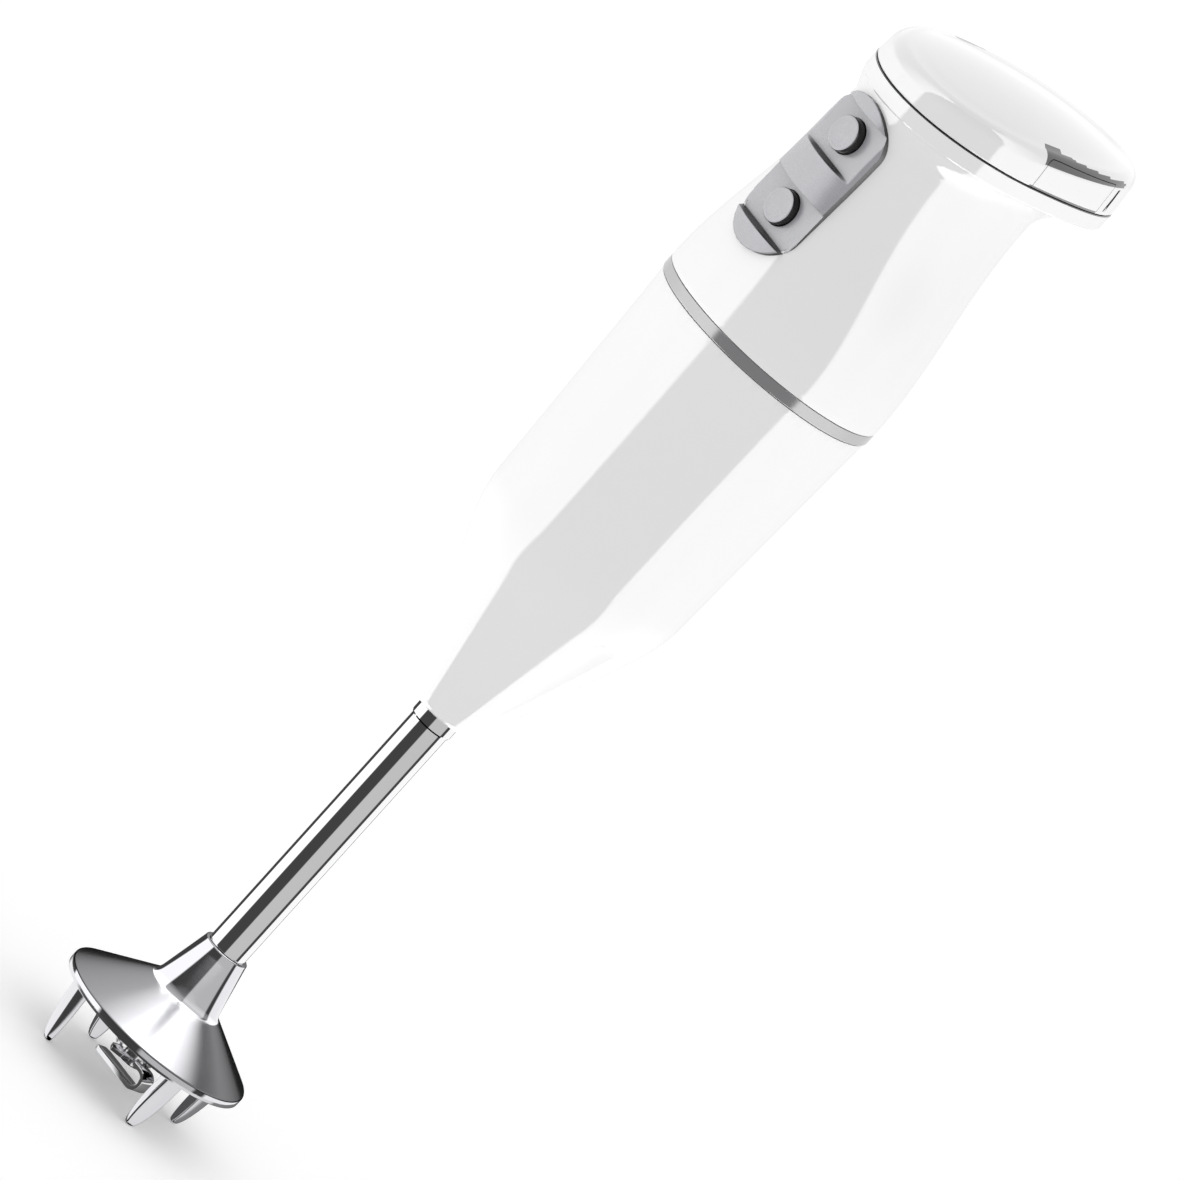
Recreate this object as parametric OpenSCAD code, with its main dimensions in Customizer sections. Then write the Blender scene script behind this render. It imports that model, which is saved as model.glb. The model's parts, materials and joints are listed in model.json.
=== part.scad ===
// Cordless immersion blender: pronged blade guard, chrome shaft, white motor and handle shells,
// two push buttons on a grey pad and a lift-off battery pack with a squeeze clip on each side.
// The shaft runs along Z, the prongs stand on the plane z = 0 and the buttons face -Y.

/* [Blade guard] */
// Radius of the guard's rim
guard_r = 30.4; // [30:0.1:31]
// Height of the rim's lower edge above the prong tips
rim_z = 18.6; // [18:0.1:19]
// Height of the rim's upright band
rim_band = 2.2; // [2:0.1:2.6]
// Radius of the neck where the bell begins
neck_r = 10.2; // [10:0.1:10.6]
// Height of the neck's foot
neck_z = 33.5; // [33:0.1:34]
// Height of the ferrule's top
ferrule_z = 49.8; // [46:0.2:56]
// Radius of the ferrule's top
ferrule_r = 7.1; // [7:0.1:8]
// Width of a prong at its root
prong_w = 5.6; // [4:0.2:7]
// Turn of the first prong about the shaft
prong_turn = -18; // [-45:1:45]

/* [Shaft] */
// Radius of the chrome tube
tube_r = 6; // [5.5:0.1:6.5]
// Wall of the chrome tube
tube_wall = 0.8; // [0.6:0.1:1]
// Radius of the drive shaft
drive_r = 2.5; // [2:0.1:3]
// Radial running clearance of a shaft in its bush
run_gap = 0.04; // [0.02:0.01:0.08]

/* [Blade] */
// Thickness of the blade strip
blade_t = 1.25; // [0.8:0.05:1.6]
// Width of the blade strip
blade_w = 5.4; // [4:0.2:6.5]
// Reach of the looped arm from the shaft axis
blade_reach = 10.2; // [9.8:0.2:13]
// Height of the upper strip's underside
blade_z = 8.8; // [8:0.2:10]
// Height of the returning strip's underside
blade_low_z = 3.2; // [2.5:0.1:4]
// Turn of the looped arm about the shaft
blade_turn = 9; // [-45:1:45]
// Radius of the hub
hub_r = 4.3; // [4:0.1:5]

/* [Motor housing] */
// Height of the housing's underside
housing_z = 139.7; // [136:0.1:144]
// Radius where the cone begins
cone_low_r = 12.6; // [11.5:0.1:14]
// Height where the cone ends
cone_top_z = 195.4; // [190:0.2:200]
// Radius where the cone ends
cone_top_r = 32.9; // [31:0.1:34]
// Wall of the housings
wall = 2.2; // [1.8:0.1:2.6]

/* [Handle] */
// Height of the grey ring's underside
ring_z = 273.2; // [270:0.2:276]
// Height of the grey ring
ring_h = 3.8; // [2:0.1:5]
// Radius of the housings at the grey ring
shoulder_r = 36.7; // [36:0.1:38]
// Half width of the waist across X
waist_x = 25.2; // [25.2:0.1:28]
// Half depth of the waist along Y
waist_y = 34.6; // [33:0.1:35]
// Height of the waist
waist_z = 345.5; // [343:0.5:347]

/* [Battery cap] */
// Half width of the cap across X
cap_x = 30; // [29:0.1:32]
// Reach of the cap to the front
cap_front = 34.8; // [33:0.1:36]
// Reach of the cap's nose to the rear
cap_rear = 57.3; // [54:0.1:60]
// Height of the seam at the shaft axis
seam_z = 359.2; // [358:0.1:361]
// Height of the cap's rim above the seam
rim_h = 10.2; // [9:0.1:12]
// Rise of the top above the rim
crown = 3.5; // [2:0.1:5]
// Edge rounding of the cap's top
edge_r = 4.2; // [3:0.1:5]

/* [Buttons] */
// Radius of a button
button_r = 5.2; // [4.5:0.1:5.6]
// Travel of a button
button_travel = 1; // [0.5:0.1:1]
// Height of the lower button
button_low_z = 311.2; // [309:0.2:313]
// Height of the upper button
button_high_z = 337.6; // [336:0.2:339]

/* [Battery and motor] */
// Radius of one round cell
cell_r = 9.2; // [9:0.1:9.3]
// Length of one round cell
cell_h = 65; // [63:0.5:66]
// Radius of the motor can
can_r = 18; // [17:0.1:18]
// Length of the motor can
can_h = 50; // [46:0.5:52]

/* [Hidden] */
$fn = 64;
eps = 0.01;
big = 200;

// Skins: points round a section and sections up the body
skin_n = 56;
sweep_step = 360 / skin_n;
seam_slope = 0.06;
seam_bow = 0.0009;
seam_gap = 0.36;
flange_h = 5.1;
shell_base_z = ring_z + ring_h;

// Shaft train
tube_low_z = 30;
tube_top_z = 150;
bore_r = tube_r - tube_wall;
seal_z = 25;
shaft_low_z = 13;
coupling_z = 152;
housing_floor_z = housing_z + 2.6;
coupling_h = 17;
motor_shaft_r = 1.6;
can_z = 180;
can_wall = 1.2;
can_top = can_z + can_h;
end_cap_h = 7;
motor_shaft_top = can_top + end_cap_h - 1;

// Battery train
case_r = 21.4;
case_z = 284;
case_top = 360.4;
sleeve_gap = 0.35;
sleeve_wall = 1.1;
sleeve_r = case_r + sleeve_gap + sleeve_wall;
sleeve_z = 279;
sleeve_top = 356;
cell_ring = cell_r * 2 / sqrt(3) + 0.05;
cell_z = case_z + 3;

// Pad and buttons
pad_low_z = 297;
pad_high_z = 349.6;
pad_w = 12.6;
pad_end = 11;
pad_proud = 1.6;
panel_low_y = -33.5;
panel_high_y = -33;
panel_tilt = 2.9;
button_face_y = -35.9;
button_back_y = -30.6;
board_y = -25.4;
board_t = 1.4;

// Clips
clip_front_y = 1.2;
clip_rear_y = 33.5;
clip_h = 9.3;
clip_travel = 1.2;
clip_gap = 0.35;
clip_wall = 1.8;

function arc(cx, cy, r, a0, a1, n) =
    [for (i = [0:n]) let (a = a0 + (a1 - a0) * i / n) [cx + r * cos(a), cy + r * sin(a)]];
function smooth(t) = let (u = max(0, min(1, t))) u * u * (3 - 2 * u);
function mix(a, b, t) = a + (b - a) * t;

// ---------------------------------------------------------------- skins of the upper body

function seam(y) = seam_z + seam_slope * y - seam_bow * y * y;

// A point of the oval at angle a, with half width x, reach f to the front and r to the rear
function oval(a, x, f, r) = [x * cos(a), (sin(a) < 0 ? f : r) * sin(a)];

// The handle narrows from the round shoulder to the oval waist along a cosine
function narrowing(z) = 0.5 + 0.5 * cos(180 * (z - shell_base_z) / (waist_z - shell_base_z));
function body_x(z) = mix(waist_x, shoulder_r, narrowing(z));
function body_y(z) = mix(waist_y, shoulder_r, narrowing(z));

// Body section at height z, grown outwards by d
function body_ring(z, d) =
    [for (i = [0:skin_n - 1]) let (p = oval(i * sweep_step, body_x(z) + d, body_y(z) + d, body_y(z) + d))
        [p.x, p.y, z]];

// Flare from the waist to the flange: t is 0 at the waist and 1 at the flange's lower edge.
// It is a hollow quarter oval under the hook and a soft S at the front.
function flare_point(a, t, d) =
    let (
        w = oval(a, waist_x + d, waist_y + d, waist_y + d),
        f = oval(a, cap_x - 0.3 + d, cap_front - 0.3 + d, cap_rear - 0.3 + d),
        hook = smooth((sin(a) + 0.6) / 0.7),
        out = mix(0.5 - 0.5 * cos(180 * t), 1 - cos(90 * t), hook),
        up = mix(t, sin(90 * t), hook),
        p = w + (f - w) * out
    )
    [p.x, p.y, mix(waist_z, seam(f.y) - flange_h, up) - d * t * hook];
function flare_ring(t, d) = [for (i = [0:skin_n - 1]) flare_point(i * sweep_step, t, d)];

// Cap section, inset by s, at height h above the seam
function cap_ring(s, h) =
    [for (i = [0:skin_n - 1]) let (p = oval(i * sweep_step, cap_x - s, cap_front - s, cap_rear - s))
        [p.x, p.y, seam(p.y) + h]];
function rim_rise(y) = rim_h + 0.052 * y;
side_draft = 0.1;
// Cap section at a fraction t of the rim's height, drafted inwards
function side_ring(t, d) =
    [for (i = [0:skin_n - 1]) let (
        q = oval(i * sweep_step, cap_x, cap_front, cap_rear),
        h = (rim_rise(q.y) - edge_r) * t,
        p = oval(i * sweep_step, cap_x - h * side_draft - d, cap_front - h * side_draft - d,
                 cap_rear - h * side_draft - d)
    ) [p.x, p.y, seam(p.y) + h]];
// Cap section on the rounded edge, a from 0 at the side to 90 at the rim
function edge_ring(a, d) =
    [for (i = [0:skin_n - 1]) let (
        q = oval(i * sweep_step, cap_x, cap_front, cap_rear),
        h = rim_rise(q.y) - edge_r,
        s = h * side_draft + edge_r - (edge_r - d) * cos(a),
        p = oval(i * sweep_step, cap_x - s, cap_front - s, cap_rear - s)
    ) [p.x, p.y, seam(p.y) + h + (edge_r - d) * sin(a)]];
// Cap section on the crown, scaled by k about the middle of the top
top_mid = 9;
function crown_ring(k, d) =
    [for (p = edge_ring(90, d)) let (x = p.x * k, y = top_mid + (p.y - top_mid) * k)
        [x, y, seam(y) + rim_rise(y) - d + crown * (1 - k * k)]];

// Closed skin over a stack of rings, with a fan at each end
module skin(rings, low_mid, top_mid_point) {
    m = len(rings);
    points = concat([for (r = rings) each r], [low_mid, top_mid_point]);
    low = m * skin_n;
    sides = [for (k = [0:m - 2], i = [0:skin_n - 1]) let (j = (i + 1) % skin_n)
        each [[k * skin_n + i, (k + 1) * skin_n + i, (k + 1) * skin_n + j],
              [k * skin_n + i, (k + 1) * skin_n + j, k * skin_n + j]]];
    ends = [for (i = [0:skin_n - 1]) let (j = (i + 1) % skin_n)
        each [[low, i, j], [low + 1, (m - 1) * skin_n + j, (m - 1) * skin_n + i]]];
    polyhedron(points, concat(sides, ends));
}

body_steps = 9;
flare_steps = 6;
deck_t = 2.4;
// Outside of the handle shell when d is 0, and its hollow when d is a negative wall
module handle_skin(d) {
    base = d < 0 ? shell_base_z - 1 : shell_base_z;
    top_drop = d < 0 ? deck_t : seam_gap / 2;
    body = [for (k = [0:body_steps]) body_ring(mix(base, waist_z, k / body_steps), d)];
    flare = [for (k = [1:flare_steps]) flare_ring(k / flare_steps, d)];
    rim = d < 0 ? [] : [cap_ring(0, -0.4)];
    skin(concat(body, flare, rim, [cap_ring(0.3 - d, -top_drop)]), [0, 0, base], [0, 0, seam(0) - top_drop]);
}
module cap_skin(d) {
    foot = d > 0 ? -4 : seam_gap / 2;
    sides = [cap_ring(d + (d > 0 ? 0 : 0.3), foot), side_ring(0.12, d), side_ring(1, d)];
    edge = [for (k = [1:4]) edge_ring(90 * k / 4, d)];
    top = [for (k = [0.75, 0.4]) crown_ring(k, d)];
    skin(concat(sides, edge, top), [0, 0, seam(0) + foot],
         [0, top_mid, seam(top_mid) + rim_rise(top_mid) - d + crown]);
}

// ---------------------------------------------------------------- small shared shapes

module tube(ro, ri, z0, h) {
    translate([0, 0, z0])
        difference() {
            cylinder(r = ro, h = h);
            translate([0, 0, -1])
                cylinder(r = ri, h = h + 2);
        }
}
module rod_y(r, y0, y1, z) {
    translate([0, y1, z])
        rotate([90, 0, 0])
            cylinder(r = r, h = y1 - y0);
}
// Compression spring along Z: a sleeve with a groove between its turns
module coil(r, h) {
    turn = 0.8;
    difference() {
        cylinder(r = r, h = h);
        translate([0, 0, -1])
            cylinder(r = r - 0.5, h = h + 2);
        for (z = [0.45:turn:h - 0.5])
            tube(r + 1, r - 0.25, z, turn / 2);
    }
}
// Screw along -Z with its head's top at the origin
module screw(r, h, head_r, head_h) {
    difference() {
        union() {
            translate([0, 0, -head_h])
                cylinder(r = head_r, h = head_h);
            translate([0, 0, -h])
                cylinder(r = r, h = h - head_h + eps);
        }
        for (a = [0, 90])
            rotate(a)
                translate([-head_r * 0.6, -0.3, -head_h / 2])
                    cube([head_r * 1.2, 0.6, head_h]);
    }
}

// ---------------------------------------------------------------- guard and shaft

rim_round = 0.7;
// Outer outline of the guard from the rim's lower edge up to the ferrule
guard_outer = concat(
    [[guard_r - 0.3, rim_z], [guard_r - 0.05, rim_z + 0.3]],
    arc(guard_r - rim_round, rim_z + rim_band, rim_round, 5, 60, 4),
    [[neck_r + 1.3, neck_z - 0.95], [neck_r + 0.45, neck_z], [neck_r + 0.05, neck_z + 1.1]],
    [[ferrule_r + 0.15, ferrule_z - 0.9]],
    arc(ferrule_r - 0.6, ferrule_z - 0.7, 0.7, 10, 90, 3)
);
// Inner outline from the tube's bore down through the seal seat and under the bell
seat_r = 5.4;
guard_inner = [
    [tube_r + 0.02, ferrule_z], [tube_r + 0.02, tube_low_z], [3.6, tube_low_z], [3.6, seal_z + 3],
    [seat_r, seal_z + 3], [seat_r, seal_z - 0.6], [7.6, seal_z - 0.6], [8, 30.4], [9.8, 31.1],
    [guard_r - 3.4, rim_z + rim_band + 0.6], [guard_r - 2.2, rim_z + rim_band - 0.4], [guard_r - 2.1, rim_z]
];
prong_root_z = 21.4;
prong_leaf_z = 13;
tip_w = 1.5;
// Half width of a prong at height z: parallel above the leaf, then an oval taper to the tip
function prong_half(z) =
    z >= prong_leaf_z ? prong_w / 2
    : mix(tip_w / 2, prong_w / 2, sqrt(1 - pow(1 - z / prong_leaf_z, 2)));
// Outer and inner radius of a prong at height z
function prong_out(z) = 24.1 + 4.4 * pow(z / prong_root_z, 0.62);
function prong_in(z) = 22.7 + 1.5 * z / prong_root_z;
prong_zs = [0, 0.4, 1, 2, 3.5, 5.5, 8, 11, prong_leaf_z];
module prong() {
    intersection() {
        rotate_extrude()
            polygon(concat(
                [for (z = concat(prong_zs, [17, prong_root_z])) [prong_out(z), z]],
                [[prong_in(prong_root_z), prong_root_z + 1.2], [prong_in(8), 8], [prong_in(0), 0]]));
        translate([15, 0, 0])
            rotate([90, 0, 90])
                linear_extrude(height = 20)
                    polygon(concat(
                        [for (z = prong_zs) [prong_half(z), z]],
                        [[prong_w / 2, prong_root_z + 2], [-prong_w / 2, prong_root_z + 2]],
                        [for (i = [len(prong_zs) - 1:-1:0]) [-prong_half(prong_zs[i]), prong_zs[i]]]));
    }
}
module blade_guard() color([0.62, 0.62, 0.65]) {
    rotate_extrude()
        polygon(concat(guard_outer, guard_inner));
    for (i = [0:3])
        rotate(prong_turn + 90 * i)
            prong();
}
module lower_bush() color([0.72, 0.5, 0.28])
    tube(bore_r - 0.02, drive_r + run_gap, tube_low_z, 14);
module shaft_seal() color([0.12, 0.12, 0.13])
    difference() {
        tube(seat_r - 0.02, drive_r + run_gap, seal_z - 0.4, 3.3);
        translate([0, 0, seal_z - 0.5])
            cylinder(r1 = 4, r2 = 3, h = 1.4);
    }
module shaft_tube() color([0.8, 0.8, 0.83])
    tube(tube_r, bore_r, tube_low_z, tube_top_z - tube_low_z);
module shaft_collar() color([0.8, 0.8, 0.83])
    rotate_extrude()
        polygon([[tube_r + 0.02, 134.8], [6.3, 134.8], [6.55, 135.3], [6.55, housing_z - 0.1],
                 [tube_r + 0.02, housing_z - 0.1]]);
module upper_bush() color([0.72, 0.5, 0.28])
    tube(bore_r - 0.02, drive_r + run_gap, tube_top_z - 14, 14);
module shaft_flange() color([0.25, 0.25, 0.27])
    rotate_extrude()
        polygon([[tube_r + 0.02, housing_floor_z], [10.8, housing_floor_z], [13.2, housing_floor_z + 6.7],
                 [13.2, housing_floor_z + 8.3], [8.4, housing_floor_z + 8.3], [tube_r + 0.02, tube_top_z]]);

// ---------------------------------------------------------------- motor housing

base_r = 9.6;
base_round = 3;
cone_angle = atan((cone_top_r - cone_low_r) / (cone_top_z - housing_z));
// Outer radius of the barrel above the cone
function barrel_r(z) =
    cone_top_r + (shoulder_r - 0.4 - cone_top_r) * pow((z - cone_top_z) / (ring_z - cone_top_z), 1.1);
barrel_zs = [212, 228, 244, 258, ring_z - 0.3];
bend = 7;
bend_low = [cone_top_r - bend * tan(cone_angle), cone_top_z - bend];
bend_high = [barrel_r(cone_top_z + bend), cone_top_z + bend];
// Rounded bend between the cone and the barrel
bend_points = [for (t = [0:0.2:1])
    mix(mix(bend_low, [cone_top_r, cone_top_z], t), mix([cone_top_r, cone_top_z], bend_high, t), t)];
housing_outline = concat(
    arc(base_r, housing_z + base_round, base_round, -90, -cone_angle, 4),
    bend_points,
    [for (z = barrel_zs) [barrel_r(z), z]]
);
// Radius of the cone's inner wall at height z
function cone_inside(z) =
    mix(cone_low_r + 1.2 - wall, cone_top_r - wall - 0.3,
        (z - housing_floor_z) / (cone_top_z - housing_floor_z));
// Inner outline: the outer one moved in by the wall, with a thicker floor
housing_inside = [
    [barrel_r(ring_z) - 0.3, ring_z], [barrel_r(ring_z) - wall, ring_z],
    [cone_inside(cone_top_z), cone_top_z], [cone_inside(housing_floor_z), housing_floor_z],
    [tube_r + 0.05, housing_floor_z], [tube_r + 0.05, housing_z]
];
flute_len = 47;
flute_low_r = 5;
flute_top_r = 15;
flute_low_depth = 0.8;
flute_top_depth = 1.4;
// Cutter for the shallow flute on each side of the cone: a cone with a rounded end, whose
// underside runs along the housing's side
module flute_cutter() {
    low_out = flute_low_r - flute_low_depth;
    top_out = flute_top_r - flute_top_depth;
    tilt = atan((top_out - low_out) / flute_len);
    h = flute_len / cos(tilt);
    spread = atan((flute_top_r - flute_low_r) / h);
    translate([cone_low_r, 0, housing_z])
        rotate([0, cone_angle, 0])
            translate([low_out, 0, 0])
                rotate([0, tilt, 0])
                    rotate(180)
                        rotate_extrude()
                            polygon(concat(
                                [[0, -8], [flute_low_r - 8 * tan(spread), -8]],
                                [for (a = [0, 20, 40, 60, 80])
                                    [flute_top_r * cos(a), h + flute_top_r * 0.9 * sin(a)]],
                                [[0, h + flute_top_r * 0.9]]));
}
module motor_housing() color([0.95, 0.95, 0.95])
    difference() {
        rotate_extrude($fn = 96)
            polygon(concat(housing_outline, housing_inside));
        for (side = [0, 180])
            rotate(side)
                flute_cutter();
    }
ring_in = 32.4;
module joint_ring() color([0.6, 0.6, 0.62])
    rotate_extrude($fn = 96)
        polygon([[ring_in, ring_z - 4], [barrel_r(ring_z) - wall - 0.4, ring_z - 4],
                 [barrel_r(ring_z) - wall - 0.4, ring_z + 0.05], [shoulder_r - 0.4, ring_z + 0.05],
                 [shoulder_r - 0.1, ring_z + 0.35], [shoulder_r - 0.1, ring_z + ring_h - 0.4],
                 [shoulder_r - 0.4, ring_z + ring_h - 0.1], [shoulder_r - wall - 0.4, ring_z + ring_h - 0.1],
                 [shoulder_r - wall - 0.4, sleeve_z - 0.1], [ring_in, sleeve_z - 0.1]]);

// ---------------------------------------------------------------- motor

mount_low = 170;
mount_top = 186;
mount_fit = 0.05;
module motor_mount() color([0.2, 0.2, 0.22])
    difference() {
        rotate_extrude()
            polygon([[8, mount_low], [cone_inside(mount_low) - mount_fit, mount_low],
                     [cone_inside(mount_top) - mount_fit, mount_top],
                     [can_r + 1.1, mount_top], [can_r + 1.1, mount_low + 7], [8, mount_low + 7]]);
        for (side = [0, 180])
            rotate(side)
                translate([12.5, 0, mount_low - 1]) {
                    cylinder(r = 1.7, h = 10);
                    cylinder(r = 3.4, h = 4);
                }
        for (a = [45:90:315])
            rotate(a)
                translate([14, 0, mount_low - 1])
                    cylinder(r = 2.6, h = 10);
    }
module mount_dampers() color([0.1, 0.1, 0.1])
    difference() {
        tube(can_r + 1.05, 7.4, mount_low + 7.05, can_z - mount_low - 7.1);
        for (side = [0, 180])
            rotate(side)
                translate([12.5, 0, mount_low])
                    cylinder(r = 1.8, h = 12);
    }
module motor_screws() color([0.7, 0.7, 0.72])
    for (side = [0, 180])
        rotate(side)
            translate([12.5, 0, mount_low + 1])
                rotate([180, 0, 0])
                    screw(1.45, can_z + can_wall - mount_low - 1.2, 2.8, 1.8);
module motor_can() color([0.75, 0.75, 0.77])
    difference() {
        union() {
            tube(can_r, can_r - can_wall, can_z, can_h);
            translate([0, 0, can_z])
                cylinder(r = can_r - 0.5, h = can_wall);
            translate([0, 0, can_z - 3])
                cylinder(r = 6.4, h = 4);
        }
        translate([0, 0, can_z - 4])
            cylinder(r = 3, h = 8);
        translate([0, 0, can_z - 2])
            cylinder(r = 5.2, h = 5);
        for (side = [0, 180])
            rotate(side)
                translate([12.5, 0, can_z - 1])
                    cylinder(r = 1.5, h = 4);
    }
magnet_in = 14.3;
module motor_magnets() color([0.22, 0.22, 0.24])
    intersection() {
        tube(can_r - can_wall - 0.03, magnet_in, can_z + 7, 36);
        for (side = [0, 180])
            rotate(side)
                translate([0, -12, 0])
                    cube([30, 24, big * 2]);
    }
module motor_bearing_lower() color([0.72, 0.5, 0.28])
    tube(5.18, motor_shaft_r + run_gap, can_z - 1.95, 3.6);
module motor_bearing_upper() color([0.72, 0.5, 0.28])
    tube(3.98, motor_shaft_r + run_gap, can_top + end_cap_h - 4.4, 3);
brush_z = can_top - 2.5;
brush_spring_in = 10.85;
brush_spring_out = 14.6;
module motor_end_cap() color([0.15, 0.15, 0.16])
    difference() {
        union() {
            translate([0, 0, can_top + 0.02])
                cylinder(r = can_r, h = end_cap_h - 2);
            translate([0, 0, can_top - 5])
                cylinder(r = can_r - can_wall - 0.03, h = 6);
            translate([0, 0, can_top])
                cylinder(r = 6.4, h = end_cap_h);
        }
        translate([0, 0, can_top - 6])
            cylinder(r = 6, h = 6 + end_cap_h - 4.5);
        translate([0, 0, can_top + end_cap_h - 5])
            cylinder(r = 4, h = 3.62);
        translate([0, 0, can_top])
            cylinder(r = 2.2, h = big);
        for (side = [0, 180])
            rotate(side)
                translate([5, -2.2, brush_z - 2.2])
                    cube([9.8, 4.4, 4.4]);
        for (side = [90, 270])
            rotate(side)
                translate([12, 0, can_top + 1])
                    cylinder(r = 1.2, h = 10);
    }
module carbon_brushes() color([0.08, 0.08, 0.09])
    for (side = [0, 180])
        rotate(side)
            translate([5.15, -2, brush_z - 2])
                cube([5.6, 4, 4]);
module brush_springs() color([0.8, 0.8, 0.82])
    for (side = [0, 180])
        rotate(side)
            translate([brush_spring_in, 0, brush_z])
                rotate([0, 90, 0])
                    coil(1.7, brush_spring_out - brush_spring_in);
module motor_leads() color([0.7, 0.1, 0.1])
    for (side = [90, 270])
        rotate(side) {
            translate([12, 0, can_top + 1.2])
                cylinder(r = 1, h = sleeve_z + 1.4 - can_top - 1.2);
        }

// ---------------------------------------------------------------- turning parts

pin_z = 21.4;
pin_r = 0.8;
module drive_shaft() color([0.85, 0.85, 0.87])
    difference() {
        union() {
            translate([0, 0, shaft_low_z + 0.5])
                cylinder(r = drive_r, h = coupling_z + 7 - shaft_low_z - 0.5);
            translate([0, 0, shaft_low_z])
                cylinder(r1 = drive_r - 0.4, r2 = drive_r, h = 0.5);
        }
        translate([-5, 0, pin_z])
            rotate([0, 90, 0])
                cylinder(r = pin_r + 0.01, h = 10);
    }
module drive_pin() color([0.8, 0.8, 0.82])
    translate([-3.6, 0, pin_z])
        rotate([0, 90, 0])
            cylinder(r = pin_r, h = 7.2);
module shaft_coupling() color([0.16, 0.2, 0.28])
    difference() {
        union() {
            translate([0, 0, coupling_z])
                cylinder(r = 5.6, h = coupling_h);
            translate([0, 0, coupling_z + 5])
                cylinder(r = 7, h = 7);
        }
        translate([0, 0, coupling_z - 1])
            cylinder(r = drive_r + 0.01, h = 8.1);
        translate([0, 0, coupling_z + 7.6])
            cylinder(r = motor_shaft_r + 0.01, h = coupling_h);
        for (a = [0:60:300])
            rotate(a)
                translate([7.3, 0, coupling_z + 4])
                    cylinder(r = 0.9, h = 9);
    }
module motor_shaft() color([0.85, 0.85, 0.87])
    translate([0, 0, coupling_z + 7.7])
        cylinder(r = motor_shaft_r, h = motor_shaft_top - coupling_z - 7.7);
core_r = magnet_in - 0.4;
core_z = can_z + 11;
core_h = 27;
slot_n = 5;
module armature_core() color([0.45, 0.45, 0.48])
    difference() {
        tube(core_r, motor_shaft_r + 0.01, core_z, core_h);
        for (i = [0:slot_n - 1])
            rotate(360 * i / slot_n)
                translate([0, 0, core_z - 1]) {
                    translate([9.2, 0, 0])
                        cylinder(r = 3.1, h = core_h + 2);
                    translate([9.2, -0.7, 0])
                        cube([6, 1.4, core_h + 2]);
                }
    }
module armature_windings() color([0.72, 0.36, 0.16])
    union() {
        for (z = [core_z - 4.05, core_z + core_h + 0.05])
            tube(12, 5.2, z, 4);
        for (i = [0:slot_n - 1])
            rotate(360 * i / slot_n)
                translate([9.2, 0, core_z - 1])
                    cylinder(r = 2.6, h = core_h + 2);
    }
module commutator() color([0.8, 0.45, 0.22])
    difference() {
        tube(4.9, motor_shaft_r + 0.01, core_z + core_h + 4.2, can_top + 1 - core_z - core_h - 4.2);
        for (i = [0:slot_n - 1])
            rotate(360 * i / slot_n + 18)
                translate([4.3, -0.2, core_z + core_h + 5.5])
                    cube([2, 0.4, big]);
    }

// ---------------------------------------------------------------- blade

hub_low_z = 7.7;
hub_top_z = 23.4;
module blade_hub() color([0.82, 0.82, 0.84])
    difference() {
        rotate_extrude()
            polygon([[0, hub_low_z], [hub_r - 0.4, hub_low_z], [hub_r, hub_low_z + 0.4],
                     [hub_r, blade_z - 0.02], [3.3, blade_z - 0.02], [3.3, blade_z + blade_t + 0.02],
                     [hub_r, blade_z + blade_t + 0.02], [hub_r, 11.6], [hub_r - 0.25, 11.8],
                     [hub_r - 0.25, 12.2], [hub_r, 12.4], [hub_r, hub_top_z - 0.5],
                     [hub_r - 0.5, hub_top_z], [0, hub_top_z]]);
        translate([0, 0, shaft_low_z - 0.5])
            cylinder(r = drive_r + 0.03, h = 20);
        translate([-3.9, -pin_r - 0.15, pin_z - pin_r - 0.2])
            cube([7.8, 2 * pin_r + 0.3, 10]);
    }
loop_out = (blade_z + blade_t - blade_low_z) / 2;
loop_in = loop_out - blade_t;
loop_x = blade_reach - loop_out;
loop_z = blade_low_z + loop_out;
strip_end = -9.4;
wing_tip = -11;
wing_rise = 1.6;
// Side view of the looped strip, with the short wing rising on the other side
module loop_outline() {
    polygon(concat(
        [[0, blade_z], [loop_x, blade_z]],
        arc(loop_x, loop_z, loop_in, 90, -90, 12),
        [[strip_end, blade_low_z + blade_t], [strip_end, blade_low_z]],
        arc(loop_x, loop_z, loop_out, -90, 90, 16),
        [[-hub_r - 0.6, blade_z + blade_t], [wing_tip, blade_z + blade_t + wing_rise],
         [wing_tip, blade_z + wing_rise], [-hub_r - 0.6, blade_z]]));
}
// Plan view of the strip: parallel, with a pointed wing
module strip_plan() {
    polygon([[-12.4, -0.4], [-7.6, -blade_w / 2], [blade_reach + 1, -blade_w / 2],
             [blade_reach + 1, blade_w / 2], [-7.6, blade_w / 2], [-12.4, 0.4]]);
}
cross_reach = 10;
module cutting_blade() color([0.8, 0.8, 0.82])
    rotate(blade_turn)
        difference() {
            union() {
                intersection() {
                    translate([0, blade_w / 2 + 1, 0])
                        rotate([90, 0, 0])
                            linear_extrude(height = blade_w + 2)
                                loop_outline();
                    linear_extrude(height = 20)
                        strip_plan();
                }
                translate([0, 0, blade_z])
                    linear_extrude(height = blade_t)
                        polygon([[0, -cross_reach], [2.6, -7.4], [3, 0], [2.6, 7.4], [0, cross_reach],
                                 [-2.6, 7.4], [-3, 0], [-2.6, -7.4]]);
                translate([0, 0, blade_z])
                    cylinder(r = hub_r + 0.5, h = blade_t);
            }
            translate([0, 0, blade_z - 1])
                cylinder(r = 3.32, h = 4);
        }

// ---------------------------------------------------------------- handle shell and pad

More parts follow.
